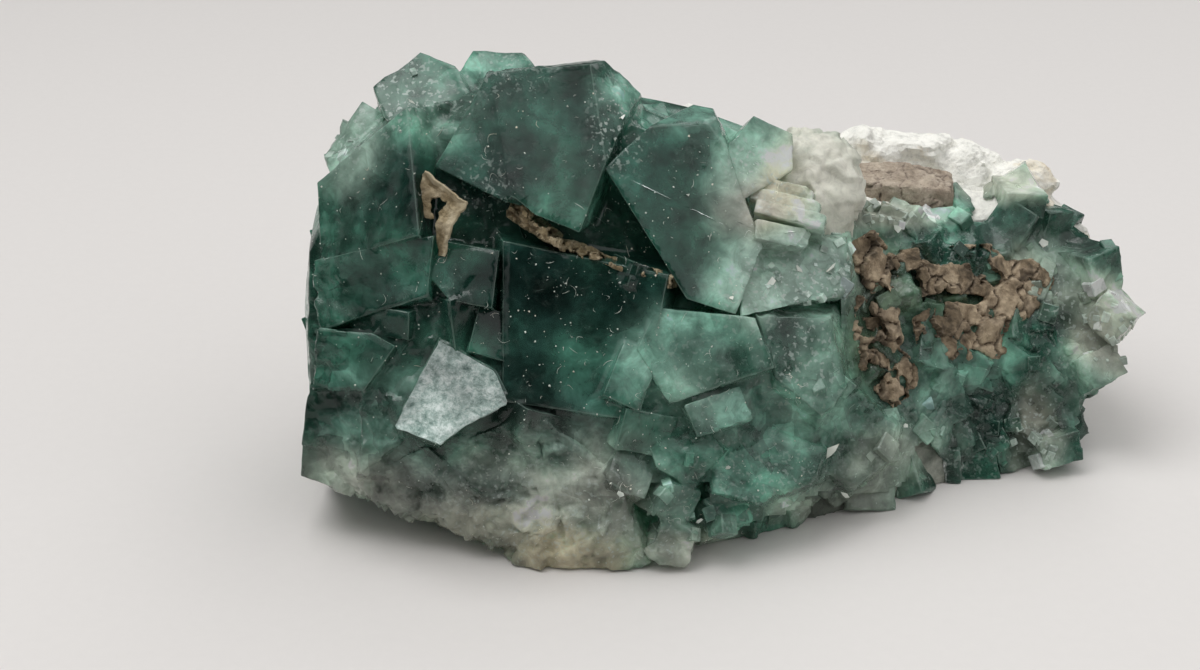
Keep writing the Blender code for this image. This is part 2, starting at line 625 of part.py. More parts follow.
def druse_seats(tree):
    """Places, directions and sizes of the small cubes, spaced apart."""
    chance = random.Random(SEED)
    seats = []

    def settle(hit, edges, spacing):
        spot, normal = hit[0], hit[1]
        if spot is None:
            return
        if any((spot - seat[0]).length < spacing * MM for seat in seats):
            return
        seats.append((spot, normal, chance.uniform(*edges)))

    outward = (face_point(0, 0, 1) - face_point(0, 0, 0)).normalized()
    for outline, edges, spacing, tries in DRUSE:
        lows = [min(corner[i] for corner in outline) for i in range(2)]
        highs = [max(corner[i] for corner in outline) for i in range(2)]
        for _ in range(tries):
            across = chance.uniform(lows[0], highs[0])
            up = chance.uniform(lows[1], highs[1])
            if inside_outline(across, up, outline):
                hit = tree.ray_cast(face_point(across, up, 60.0), -outward)
                settle(hit, edges, spacing)
    ys, zs, edges, spacing, tries = END_DRUSE
    for _ in range(tries):
        start = place(80.0, chance.uniform(*ys), chance.uniform(*zs))
        settle(tree.ray_cast(start, Vector((-1.0, 0.0, 0.0))), edges, spacing)
    xs, ys, edges, spacing, tries = RIM_DRUSE
    for _ in range(tries):
        start = place(chance.uniform(*xs), chance.uniform(*ys), 80.0)
        settle(tree.ray_cast(start, Vector((0.0, 0.0, -1.0))), edges, spacing)
    return seats


def druse(seats, grow):
    """Small cubes half sunk in the surface, each turned its own way."""
    chance = random.Random(SEED + 1)
    piece = bmesh.new()
    for spot, normal, edge in seats:
        tilt = math.radians(DRUSE_TURN)
        turn = normal.to_track_quat("Z", "Y").to_matrix()
        lean = Euler((chance.uniform(-tilt, tilt), chance.uniform(-tilt, tilt),
                      chance.uniform(0.0, math.pi / 2.0))).to_matrix()
        stretch = [edge * chance.uniform(0.85, 1.2) for _ in range(3)]
        scale = Matrix.Diagonal([(side + 2.0 * grow) * MM for side in stretch] + [1.0])
        middle = spot - normal * (edge * DRUSE_SINK * MM)
        matrix = Matrix.Translation(middle) @ (turn @ lean).to_4x4() @ scale
        bmesh.ops.create_cube(piece, size=1.0, matrix=matrix)
    return piece


def crystals(seats, grow):
    """Every crystal as one mesh of overlapping closed shells."""
    piece = bmesh.new()
    for block in BLOCKS.values():
        append(piece, cleaved_block(block, grow))
    for middle, sizes, turns in BRICKS:
        matrix = brick_matrix(middle, sizes, turns, grow)
        bmesh.ops.create_cube(piece, size=1.0, matrix=matrix)
    append(piece, smooth_lump(grow))
    append(piece, druse(seats, grow))
    return piece


def smooth_lump(grow):
    """A rounded lump without flat faces."""
    middle, halves = LUMP
    piece = bmesh.new()
    scale = Matrix.Diagonal([(half + grow) * MM for half in halves] + [1.0])
    frame = Matrix.Rotation(math.radians(90.0) - LEAN, 4, "X")
    matrix = Matrix.Translation(face_point(*middle)) @ frame @ scale
    bmesh.ops.create_icosphere(piece, subdivisions=2, radius=1.0, matrix=matrix)
    return piece


def lumps(table, grow, seed):
    """Several broken lumps as one mesh of overlapping shells."""
    piece = bmesh.new()
    for i, (middle, halves) in enumerate(table):
        append(piece, rock_lump(middle, halves, grow, seed + i))
    return piece


def knob(grow):
    """The matrix lumps that stand up at the back, and the ledges below them."""
    return lumps(KNOB + LEDGES, grow, SEED + 10)


def slab(grow):
    """The clay slab in the top hollow."""
    return hull_of([place(*corner) for corner in SLAB], grow)


def ochre_flap(grow):
    """A thin curl of clay that stands off the crystals."""
    return hull_of([face_point(*corner) for corner in FLAP], grow)


def ochre_seam(grow):
    """Clay packed in the joint under the centre block."""
    chance = random.Random(SEED + 3)
    piece = bmesh.new()
    for start, end, thick in SEAM:
        points = []
        for step in range(5):
            share = step / 4.0
            spot = Vector(start).lerp(Vector(end), share)
            for _ in range(4):
                stray = [chance.uniform(-thick, thick) for _ in range(3)]
                points.append(face_point(*(spot + Vector(stray))))
        append(piece, hull_of(points, grow))
    return piece


def clay_plates():
    """Curled plates of dried clay laid over the small cubes."""
    chance = random.Random(SEED + 5)
    piece = bmesh.new()
    for across, up, out, wide, high, turn in CLAY_PLATES:
        angle = math.radians(turn)
        points = []
        for i in range(CLAY_SIDES):
            way = 2.0 * math.pi * i / CLAY_SIDES + chance.uniform(-0.25, 0.25)
            du = math.cos(way) * wide * chance.uniform(0.9, 1.3)
            dv = math.sin(way) * high * chance.uniform(0.9, 1.3)
            a = across + du * math.cos(angle) - dv * math.sin(angle)
            u = up + du * math.sin(angle) + dv * math.cos(angle)
            recede = -CLAY_RECEDE * (a - across)
            points.append(face_point(a, u, out + recede + CLAY_THICK / 2.0))
            points.append(face_point(a, u, out + recede - CLAY_THICK))
        points.append(face_point(across, up, out + CLAY_THICK * 0.75))
        append(piece, hull_of(points, 0.0))
    return piece


def make_object(name, piece, collection):
    """A named object from a finished shape."""
    mesh = bpy.data.meshes.new(name)
    piece.to_mesh(mesh)
    piece.free()
    made = bpy.data.objects.new(name, mesh)
    collection.objects.link(made)
    return made


def combine(target, other, operation, fuse=False):
    """A Boolean of two objects, applied, with the second one kept as a guide."""
    modifier = target.modifiers.new(operation.lower(), "BOOLEAN")
    modifier.operation = operation
    modifier.solver = "EXACT"
    modifier.use_self = fuse
    modifier.object = other
    scene_graph = bpy.context.evaluated_depsgraph_get()
    scene_graph.update()
    mesh = bpy.data.meshes.new_from_object(target.evaluated_get(scene_graph))
    target.modifiers.clear()
    old = target.data
    target.data = mesh
    mesh.name = target.name
    bpy.data.meshes.remove(old)


def keep_largest(target):
    """Drops crumbs that a cut left loose from the main body."""
    piece = bmesh.new()
    piece.from_mesh(target.data)
    piece.verts.ensure_lookup_table()
    bodies = []
    seen = set()
    for vert in piece.verts:
        if vert in seen:
            continue
        stack = [vert]
        group = {vert}
        while stack:
            for edge in stack.pop().link_edges:
                for end in edge.verts:
                    if end not in group:
                        group.add(end)
                        stack.append(end)
        seen |= group
        bodies.append(group)
    bodies.sort(key=len, reverse=True)
    spare = [vert for group in bodies[1:] for vert in group]
    bmesh.ops.delete(piece, geom=spare, context="VERTS")
    piece.to_mesh(target.data)
    piece.free()
    return len(bodies)


def guide(name, piece):
    """A cutter or filler that isn't part of the object."""
    made = make_object(name, piece, guides)
    made.hide_render = True
    made.display_type = "WIRE"
    return made


def material(name, colour, roughness):
    """A plain material with one colour."""
    made = bpy.data.materials.new(name)
    made.use_nodes = True
    shader = made.node_tree.nodes["Principled BSDF"]
    shader.inputs["Base Color"].default_value = (*colour, 1.0)
    shader.inputs["Roughness"].default_value = roughness
    shader.inputs["Metallic"].default_value = 0.0
    return made


specimen = bpy.data.collections.new("fluorite_specimen")
guides = bpy.data.collections.new("guides")
bpy.context.scene.collection.children.link(specimen)
bpy.context.scene.collection.children.link(guides)

# Below this the ground planes everything off to one flat resting face.
ground = bmesh.new()
ground_size = Matrix.Diagonal((200.0 * MM, 200.0 * MM, 20.0 * MM, 1.0))
ground_place = Matrix.Translation(Vector((0.0, 0.0, -10.0 * MM)))
bmesh.ops.create_cube(ground, size=1.0, matrix=ground_place @ ground_size)
ground = guide("ground", ground)

whole = body(0.0)
seats = druse_seats(BVHTree.FromBMesh(whole))

# The matrix rock: the body behind the contact, the knob, and a seat for the slab.
host_rock = make_object("host_rock", body(0.0), specimen)
combine(host_rock, guide("behind", behind_contact(GAP)), "INTERSECT")
combine(host_rock, guide("knob", knob(0.0)), "UNION", fuse=True)
combine(host_rock, guide("pits", lumps(PITS, 0.0, SEED + 60)), "DIFFERENCE")
combine(host_rock, guide("slab_seat", slab(GAP)), "DIFFERENCE")
combine(host_rock, ground, "DIFFERENCE")
host_parts = keep_largest(host_rock)

# The fluorite: the body in front of the contact with every crystal grown on it.
grown_host = guide("grown_host", body(GAP))
combine(grown_host, guide("behind_flush", behind_contact(0.0)), "INTERSECT")
fluorite = make_object("fluorite", whole, specimen)
combine(fluorite, guide("crystals", crystals(seats, 0.0)), "UNION", fuse=True)
combine(fluorite, grown_host, "DIFFERENCE")
combine(fluorite, guide("grown_knob", knob(GAP)), "DIFFERENCE", fuse=True)
combine(fluorite, guide("grown_slab", slab(GAP)), "DIFFERENCE")
combine(fluorite, guide("flap_seat", ochre_flap(GAP)), "DIFFERENCE")
combine(fluorite, guide("seam_seat", ochre_seam(GAP)), "DIFFERENCE", fuse=True)
combine(fluorite, ground, "DIFFERENCE")
fluorite_parts = keep_largest(fluorite)

# The clay: what the plates keep in front of the crystals.
clay_patch = make_object("clay_patch", clay_plates(), specimen)
near_crystals = guide("near_crystals", body(GAP))
combine(near_crystals, guide("grown_crystals", crystals(seats, GAP)), "UNION", fuse=True)
combine(clay_patch, near_crystals, "DIFFERENCE", fuse=True)
clay_parts = keep_largest(clay_patch)
clay_slab = make_object("clay_slab", slab(0.0), specimen)
flap = make_object("ochre_flap", ochre_flap(0.0), specimen)
seam = make_object("ochre_seam", bmesh.new(), specimen)
combine(seam, guide("seam_fill", ochre_seam(0.0)), "UNION", fuse=True)
keep_largest(seam)

host_rock.data.materials.append(material("matrix_rock", (0.72, 0.70, 0.64), 0.9))
fluorite.data.materials.append(material("green_fluorite", (0.05, 0.17, 0.13), 0.15))
clay_patch.data.materials.append(material("brown_clay", (0.20, 0.14, 0.10), 0.95))
clay_slab.data.materials.append(material("slab_clay", (0.17, 0.12, 0.09), 0.95))
flap.data.materials.append(material("flap_clay", (0.38, 0.28, 0.15), 0.9))
seam.data.materials.append(material("seam_clay", (0.36, 0.25, 0.13), 0.9))
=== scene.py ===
import math

import bmesh
import bpy
import numpy as np
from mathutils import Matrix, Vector


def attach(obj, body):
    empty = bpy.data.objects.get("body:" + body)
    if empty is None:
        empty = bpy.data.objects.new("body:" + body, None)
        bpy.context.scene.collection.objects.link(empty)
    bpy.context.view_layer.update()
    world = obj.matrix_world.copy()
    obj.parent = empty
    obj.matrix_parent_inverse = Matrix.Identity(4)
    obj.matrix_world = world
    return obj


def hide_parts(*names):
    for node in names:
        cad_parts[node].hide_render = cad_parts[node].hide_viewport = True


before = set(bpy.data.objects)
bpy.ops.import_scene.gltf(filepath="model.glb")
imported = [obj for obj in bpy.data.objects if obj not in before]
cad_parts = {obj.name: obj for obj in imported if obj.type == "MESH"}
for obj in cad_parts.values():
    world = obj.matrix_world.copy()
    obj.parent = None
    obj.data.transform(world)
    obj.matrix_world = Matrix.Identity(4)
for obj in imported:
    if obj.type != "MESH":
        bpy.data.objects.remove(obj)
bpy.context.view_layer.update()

mm = 0.001
print("frame loaded", sorted(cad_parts))

# the display face leans back by this much, and the piece was centred by this shift
layout = {"leanDegrees": 26.0, "middleX": 1.85, "middleY": 25.65}
leanSin = math.sin(math.radians(layout["leanDegrees"]))
leanCos = math.cos(math.radians(layout["leanDegrees"]))


def facePoint(across, up, out):
    # millimetres on the leaning display face to metres in the frame
    y = up * leanSin - out * leanCos - layout["middleY"]
    x = np.asarray(across) - layout["middleX"]
    z = up * leanCos + out * leanSin
    return np.stack([x * mm + 0.0 * y, y * mm, z * mm], axis=-1)


def faceCoordinates(points):
    # the way back: across, up and out in millimetres for points in metres
    x = points[:, 0] / mm + layout["middleX"]
    y = points[:, 1] / mm + layout["middleY"]
    z = points[:, 2] / mm
    return x, y * leanSin + z * leanCos, z * leanSin - y * leanCos


def displayShare(normals):
    # how squarely each normal faces the display side, 1 if straight at it
    return normals[:, 2] * leanSin - normals[:, 1] * leanCos


# helpers for numbers: an oval zone is its middle across and up on the display
# face, its half width and its half height, all in mm

def ovalReach(across, up, oval):
    # squared distance from the middle of an oval, 1 on its border
    left, high, wide, tall = oval
    return ((across - left) / wide) ** 2 + ((up - high) / tall) ** 2


def zoneShare(points, zones):
    # the largest share of any oval that each point lies in
    across, up = faceCoordinates(points)[:2]
    share = np.zeros(len(points))
    for *oval, amount in zones:
        share = np.maximum(share, (ovalReach(across, up, oval) < 1.0) * amount)
    return share


def highestBell(points, bells, least, fall, power):
    # the highest of several bells, never under the least: a bell is its
    # strength times e to minus the fall times its reach to the power
    across, up = faceCoordinates(points)[:2]
    height = np.full(len(points), least)
    for *oval, strength in bells:
        reach = ovalReach(across, up, oval)
        height = np.maximum(height, strength * np.exp(-fall * reach ** power))
    return height


def cellDraw(cell, seed):
    # a fixed random number from 0 to 1 for each whole-number cell: its three
    # numbers and the seed, scrambled by large factors and shifts
    mixed = (cell[:, 0] * 73856093) ^ (cell[:, 1] * 19349663) ^ (cell[:, 2] * 83492791)
    mixed = (mixed ^ (seed * 40503)) & 0x7FFFFFFF
    for shift, factor in ((15, 2246822519), (13, 3266489917)):
        mixed = ((mixed ^ (mixed >> shift)) * factor) & 0x7FFFFFFF
    return ((mixed ^ (mixed >> 16)) & 0xFFFF) / 65535.0


def latticeNoise(points, seed):
    # value noise from -1 to 1: a random number at each whole-number corner,
    # blended between the eight corners by a smooth step
    base = np.floor(points).astype(np.int64)
    part = points - base
    part = part * part * (3.0 - 2.0 * part)
    total = np.zeros(len(points))
    for corner in np.ndindex(2, 2, 2):
        share = np.ones(len(points))
        for axis in range(3):
            share = share * (part[:, axis] if corner[axis] else 1.0 - part[:, axis])
        total += share * cellDraw(base + np.array(corner), seed)
    return total * 2.0 - 1.0


def layeredNoise(points, size, layers, seed, ridged=False):
    # several lattice noises added, each about half as wide and half as strong
    # as the last; ridged ones fold at zero into crests
    total = np.zeros(len(points))
    strength = 1.0
    whole = 0.0
    for layer in range(layers):
        value = latticeNoise(points / size + 17.3 * layer, seed + layer)
        if ridged:
            value = 1.0 - 2.0 * np.abs(value)
        total += value * strength
        whole += strength
        size = size / 2.03
        strength = strength * 0.52
    return total / whole


def cellFacets(points, size, seed):
    # each point takes the height of the tilted facet of its nearest seed:
    # seeds sit one to a jittered cube, and a facet is a random step plus a
    # random slope times the way from the seed; with it comes how much farther
    # off the second seed is, which falls to nothing on a facet's border
    spot = points / size
    base = np.floor(spot).astype(np.int64)
    nearest = np.full(len(points), 1e9)
    second = np.full(len(points), 1e9)
    height = np.zeros(len(points))
    for corner in np.ndindex(3, 3, 3):
        cell = base + np.array(corner) - 1
        draws = [cellDraw(cell, seed + 97 * channel) for channel in range(7)]
        away = spot - cell - np.stack(draws[:3], axis=1)
        reach = np.abs(away).max(axis=1) * 0.6 + np.linalg.norm(away, axis=1) * 0.4
        slope = np.stack(draws[3:6], axis=1) - 0.5
        facet = (draws[6] - 0.5) + 1.6 * (slope * away).sum(axis=1)
        closer = reach < nearest
        second = np.where(closer, nearest, np.minimum(second, reach))
        height = np.where(closer, facet, height)
        nearest = np.where(closer, reach, nearest)
    return height, second - nearest


# helpers for meshes

def readPoints(mesh):
    points = np.empty(len(mesh.vertices) * 3)
    mesh.vertices.foreach_get("co", points)
    return points.reshape(-1, 3)


def readNormals(mesh):
    normals = np.empty(len(mesh.vertices) * 3)
    mesh.vertex_normals.foreach_get("vector", normals)
    return normals.reshape(-1, 3)


def writePoints(mesh, points):
    mesh.vertices.foreach_set("co", points.astype(np.float32).ravel())
    mesh.update()


def placeMesh(name, mesh):
    # a mesh as an object in the scene
    made = bpy.data.objects.new(name, mesh)
    bpy.context.scene.collection.objects.link(made)
    return made


def meshObject(name, points, faces):
    # an object straight from an array of points and lists of corner numbers
    mesh = bpy.data.meshes.new(name)
    mesh.from_pydata(points.tolist(), [], faces)
    mesh.update()
    return placeMesh(name, mesh)


def workObject(name, work):
    # an object from a mesh that was being worked on
    mesh = bpy.data.meshes.new(name)
    work.to_mesh(mesh)
    work.free()
    return placeMesh(name, mesh)


def mergedNode(nodeName):
    # a node's loose triangles merged into one closed mesh, to be worked on
    work = bmesh.new()
    work.from_mesh(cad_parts[nodeName].data)
    bmesh.ops.remove_doubles(work, verts=work.verts, dist=1e-6)
    return work


def evenSkin(made, voxel):
    # the same solid with an even net of small faces
    remesh = made.modifiers.new("evenSkin", "REMESH")
    remesh.mode = "VOXEL"
    remesh.voxel_size = voxel * mm
    bpy.context.view_layer.update()
    graph = bpy.context.evaluated_depsgraph_get()
    mesh = bpy.data.meshes.new_from_object(made.evaluated_get(graph))
    made.modifiers.clear()
    old = made.data
    made.data = mesh
    bpy.data.meshes.remove(old)
    mesh.name = made.name


def thicken(made, thick, offset):
    # a sheet made a plate, thick mm
    solid = made.modifiers.new("thickness", "SOLIDIFY")
    solid.thickness = thick * mm
    solid.offset = offset


def smoothExcept(mesh, degrees):
    # shaded smooth, but for joins that turn by more than this
    mesh.shade_smooth()
    mesh.set_sharp_from_angle(angle=math.radians(degrees))


def netShares(count):
    # shares from 0 to 1 both ways over a square net of points
    line = np.linspace(0, 1, count)
    return (part.ravel() for part in np.meshgrid(line, line))


def netFaces(rows, columns):
    # the four-cornered faces of a net of points that is numbered row by row
    index = np.arange(rows * columns).reshape(rows, columns)
    corners = [index[:-1, :-1], index[1:, :-1], index[1:, 1:], index[:-1, 1:]]
    return np.stack(corners, axis=-1).reshape(-1, 4)


def setNumbers(mesh, name, values, on="POINT"):
    # one number for each point or face, for a material to read
    layer = mesh.attributes.new(name, "FLOAT", on)
    layer.data.foreach_set("value", np.asarray(values, dtype=np.float32))


def setTint(mesh, colours):
    # one colour for each point, for a material to read
    layer = mesh.attributes.new("tint", "FLOAT_COLOR", "POINT")
    whole = np.ones((len(colours), 4), dtype=np.float32)
    whole[:, :3] = colours
    layer.data.foreach_set("color", whole.ravel())


# the green crystals: tones by place on the display face

crystalTones = {
    # how each tone looks on screen, 0 to 255
    "night": (17, 40, 35), "deep": (29, 60, 51), "slate": (42, 64, 59), "sea": (46, 84, 70),
    "moss": (60, 99, 84), "milky": (98, 134, 120), "mint": (126, 160, 144),
    # glow and ivory are lifted past the pale mint and cream they stand for: painted light, for the
    # lit top of a ledge and for the shaded undercut of the base
    "frost": (156, 182, 167), "glow": (202, 232, 216), "cream": (192, 193, 175),
    "ivory": (252, 238, 204), "chalk": (226, 230, 212), "mauve": (150, 145, 136),
    "ash": (132, 136, 127), "paleAsh": (166, 168, 156), "olive": (92, 95, 71),
    "base": "sea", "gain": 2.5,
    "most": 0.87,  # nothing gives back more of the light than this
    "fraySize": 4.0, "frayMost": 0.9,  # mm, and how far the spots' borders fray
    # across, up, half width, half height in mm, tone, strength
    "spots": [
        # left end, from the top
        (-36, 43, 6, 6, "deep", 1.0), (-35, 42, 4.5, 5, "night", 0.6), (-38, 36, 5, 5, "deep", 0.5),
        (-35, 33, 7, 3, "moss", 0.6), (-38, 31, 8, 3, "deep", 0.5), (-33, 50, 4, 4, "moss", 0.9),
        (-35, 51, 3, 2, "mint", 0.5), (-31, 36, 2, 4, "night", 0.8), (-41, 34, 2, 5, "moss", 0.5),
        (-28.8, 48.6, 3.5, 4, "mint", 0.8), (-24, 53, 5, 3, "milky", 0.8),
        (-41, 46, 4, 5, "frost", 0.9), (-39, 26, 5, 5, "sea", 0.6), (-34, 27, 5, 4, "night", 0.7),
        (-28, 29, 4, 4, "deep", 0.9), (-30, 24, 3, 2, "moss", 0.6), (-36, 22, 3, 3, "night", 0.5),
        (-40, 21, 4, 4, "sea", 0.7), (-35, 18.5, 4, 3.5, "milky", 0.7),
        (-40, 16, 3.5, 4, "night", 0.8), (-36, 13, 6, 4, "milky", 0.6),
        (-40, 10, 5, 3, "paleAsh", 0.5),
        # the two tall crystals in the middle of the top
        (-20, 48, 7, 6, "deep", 0.6), (-16, 46, 3, 4, "moss", 0.6), (-25, 44, 4, 5, "deep", 0.7),
        (-25.5, 40, 4, 4, "night", 0.8), (-12, 44, 4, 7, "deep", 0.7), (-17, 38, 4, 3, "moss", 0.5),
        (-20, 51, 8, 3, "deep", 0.6), (-15, 48, 2, 4, "night", 0.5), (-19, 46, 3, 2, "deep", 0.5),
        (-21, 41, 2.5, 3, "night", 0.6), (-14, 37, 2, 3, "moss", 0.5),
        (-10.5, 50, 2.6, 3, "milky", 0.9), (-4, 47.6, 4, 2.4, "milky", 0.8),
        (-5, 42, 5, 5, "deep", 1.0), (-8, 44, 3, 3, "deep", 0.6), (-3, 35, 5, 5, "sea", 1.0),
        (-5, 30, 3, 4, "deep", 0.6), (-7, 38, 3, 4, "deep", 0.7), (2, 38, 3.5, 5, "milky", 0.7),
        (1, 31, 3, 5, "moss", 0.9),
        # the dark faces in the middle
        (-19, 31, 7, 4, "night", 1.0), (-17, 25, 6, 6, "slate", 0.6), (-17, 19, 7, 5, "slate", 0.8),
        (-10, 25, 4, 6, "deep", 0.8), (-20, 24, 4, 8, "night", 0.6), (-8, 18, 4, 4, "moss", 0.5),
        (-9, 29, 5, 3, "night", 0.8), (-15, 22, 3, 3, "sea", 0.6),
        # pale forms at the top right of the middle
        (4, 44, 4, 4, "mint", 0.9), (3, 41, 3, 3, "frost", 0.5), (6, 38, 5, 3.5, "mauve", 1.0),
        (8, 41, 3, 3, "ivory", 0.7), (5.5, 35.6, 2, 1.2, "olive", 0.8),
        # the glow spot is the ledge's own pale mint, lifted by painted light on its lit top
        (11, 43, 4, 6, "cream", 0.9), (12, 37, 4, 4, "frost", 0.8), (8, 31, 6.5, 3.4, "glow", 1.0),
        (4, 29, 3, 3, "frost", 0.8), (12, 29, 2.5, 3, "mint", 0.6),
        # milky cube, clear cube and the low middle
        (-4.5, 22.5, 5, 4, "milky", 1.0), (-2.5, 18.5, 4, 3, "mint", 0.8),
        (-7, 13, 4, 4, "moss", 0.6), (-2, 8, 5, 4, "milky", 0.6), (-8, 9, 3.5, 3, "milky", 0.7),
        (9, 23, 4, 5, "mint", 0.7), (6, 24, 1.6, 4, "night", 0.5), (11, 20, 2, 3, "mint", 0.6),
        (3, 16, 4, 4, "sea", 0.5), (5, 11, 5, 3, "moss", 0.6), (8, 13, 4, 4, "moss", 0.5),
        (7, 9, 4, 3, "moss", 0.6), (14, 12.5, 5, 4, "moss", 0.6), (-4, 12, 3, 3, "moss", 0.5),
        (0, 4, 4, 3, "moss", 0.5), (-7.5, 4.5, 4.5, 3.5, "mint", 0.8),
        (-6, 1.5, 4, 2.5, "milky", 0.7),
        # glassy grey base
        (-34, 8, 6, 3, "ash", 1.0), (-28, 7, 7, 4, "ash", 1.0), (-21, 12, 5, 4, "ash", 0.3),
        (-18, 8, 5, 3, "ash", 0.7), (-15, 12, 3, 2, "slate", 0.5), (-24, 3, 8, 3, "cream", 0.9),
        # the ivory spot is the base's own cream, lifted by painted light where the undercut lies in
        # shade
        (-16, 1.5, 5, 2.6, "ivory", 1.0), (-12.5, 8, 4, 5, "ash", 0.9),
        (-30, 10, 4, 2, "slate", 0.7), (-24, 9, 3, 2, "slate", 0.6),
        # druse
        (25, 37, 7, 3, "moss", 0.8), (31, 38, 5, 3, "moss", 0.8), (37, 31, 4, 4, "chalk", 0.7),
        (34, 37, 4, 3, "deep", 0.7), (26, 33, 5, 3, "deep", 0.7), (23, 33, 2, 3, "night", 0.5),
        (17, 35, 4, 3, "mint", 0.7), (44.8, 25, 3.6, 4.2, "chalk", 1.0),
        (37, 26, 3.4, 3.4, "deep", 1.0), (25, 15, 4, 4, "mint", 0.9), (31, 16, 4, 3, "night", 0.8),
        (19, 11, 5, 4, "paleAsh", 0.5), (35, 23, 4, 4, "sea", 0.9),
        (36.6, 13.0, 2.2, 4.5, "cream", 1.0), (37, 11, 2.4, 3, "frost", 0.7),
        (13, 6, 6, 3, "paleAsh", 0.5), (24, 8, 6, 3, "sea", 0.5), (27, 19, 4, 3, "milky", 0.5),
        (20, 18, 4, 3, "milky", 0.5), (17, 27, 4, 7, "olive", 0.5), (26, 27, 6, 4, "olive", 0.35),
        (41, 19, 3, 3, "mint", 0.6), (19, 38.6, 5.5, 1.6, "chalk", 1.0),
        (24.4, 38.9, 2.6, 1.0, "milky", 0.6), (34.5, 42.6, 4.5, 1.7, "chalk", 0.9),
        (39, 33, 3, 3, "mint", 0.6), (22, 24, 3, 3, "milky", 0.6), (30, 22, 4, 3, "milky", 0.6),
        (4, 16.5, 5, 3.4, "milky", 0.9), (10, 16, 3, 3, "mint", 0.5),
        (-3, 1.5, 5, 2.5, "paleAsh", 0.9),
    ],
}


def linearTone(tone):
    # a screen colour as the light it stands for
    shown = np.array(tone) / 255.0
    return np.where(shown < 0.04045, shown / 12.92, ((shown + 0.055) / 1.055) ** 2.4)


def crystalColours(points):
    # start from the base tone, then pull towards each spot's tone by a bell
    # of the distance from it, with a noise that frays its border
    across, up = faceCoordinates(points)[:2]
    fray = layeredNoise(points, crystalTones["fraySize"] * mm, 3, 3) * crystalTones["frayMost"]
    colours = np.tile(linearTone(crystalTones[crystalTones["base"]]), (len(points), 1))
    for *oval, tone, strength in crystalTones["spots"]:
        reach = np.clip(ovalReach(across, up, oval) * 0.75 + fray, 0.0, None)
        pull = strength * np.exp(-reach ** 1.6)
        colours += (linearTone(crystalTones[tone]) - colours) * pull[:, None]
    colours = colours * crystalTones["gain"]
    most = crystalTones["most"]
    return colours * (most / np.maximum(colours.max(axis=1), most))[:, None]


# the main body of fused crystals

crystalBody = {
    "flatJoin": 0.6,  # degrees, faces that join flatter than this are one
    "edgeWidth": 0.09,  # mm, the worn strip along each crystal edge
    "edgeAngle": 24.0,  # degrees between faces that count as an edge
    "edgeShortest": 2.5,  # in widths of the strip, shorter edges stay unworn
    "crispBelow": 0.20,  # mm of break depth, edges in deeper zones stay unworn
    # mm, faces are split until their sides are shorter: on calm faces, in
    # zones broken deeper than "brokenAt", and on the hidden side, which is
    # past "backLow" in y, and past "backHigh" above "backHeight"
    "longestCalm": 1.2, "longestBroken": 0.60, "longestBack": 2.2, "brokenAt": 0.22,
    "backLow": 6.0, "backHigh": 0.0, "backHeight": 30.0,
    "rounds": 9,
    "smoothBelow": 26.0,  # degrees, flatter joins are shaded smooth
    # across, up, half width, half height in mm, and how far the break there
    # departs from a flat face, in mm
    "broken": [
        (-28, 6, 13, 5, 0.70), (-20, 10, 8, 5, 0.50), (-14, 3, 8, 4, 0.65), (-7, 3, 5, 4, 0.50),
        (-31, 51, 5, 4, 0.26), (-24, 54, 5, 3, 0.18), (-41.8, 46.6, 2.4, 2.6, 0.42),
        (-10, 49, 3, 4, 0.20), (7, 37, 5, 3, 0.10), (11, 42, 5, 7, 0.20), (8, 31, 6, 3.6, 0.26),
        (-41.5, 22, 2.4, 14, 0.26), (-36, 14, 6, 5, 0.28), (-30, 29, 5, 3, 0.16),
        (28, 24, 20, 18, 0.24), (5, 10, 12, 8, 0.24), (8, 22, 5, 5, 0.18), (-4, 21, 6, 6, 0.12),
        (-1, 45, 5, 3, 0.18), (14, 28, 4, 8, 0.26),
    ],
    "calm": 0.045,  # mm, the same on a well grown face
    # mm, the widths of the swells, facets, small facets and grain of a broken
    # zone, and how much each adds for each mm of break depth
    "swell": 5.2, "facetSize": 2.5, "fineFacet": 1.05, "grain": 1.1,
    "shares": (0.5, 1.4, 0.6, 0.12),
    "footFade": 1.2,  # mm above the ground in which the relief sets in
    # a broken zone is smoothed first: how often, from what depth, over what
    # depth it grows to its full strength, and that strength
    "meltRounds": 10, "meltFrom": 0.14, "meltOver": 0.40, "meltMost": 0.55,
    # where pale glints are painted on fine fractures: across, up, half width, half height, strength
    "paintedGlint": [
        (-34, 50.5, 5.5, 4.5, 0.9), (-24, 53, 5, 3, 0.5), (-11, 47, 2.5, 4.5, 1.0),
        (-10, 45, 2, 2, 0.5), (8.5, 22.5, 5, 5, 0.6), (4, 42.4, 3.4, 3.2, 0.9),
        (6.5, 38, 4, 3, 0.5), (7.5, 30.5, 6.5, 3.6, 1.0), (2, 29, 3, 4, 0.6), (-20, 7, 10, 6, 0.55),
        (-12, 5, 3, 5, 0.6), (-40.5, 45.5, 3, 3, 0.8), (-7, 5, 5, 4.5, 0.5), (40, 27, 5, 7, 0.6),
        (36, 14, 4, 5, 0.6), (-25, 40, 3, 3, 0.4), (20, 33, 10, 4, 0.4), (4, 9, 9, 5, 0.3),
        (-4.5, 21, 5, 5, 0.25), (26, 12, 12, 6, 0.3),
    ],
}


def breakDepth(points):
    # the strongest bell of any broken zone, never less than the calm relief
    return highestBell(points, crystalBody["broken"], crystalBody["calm"], 0.5, 2)


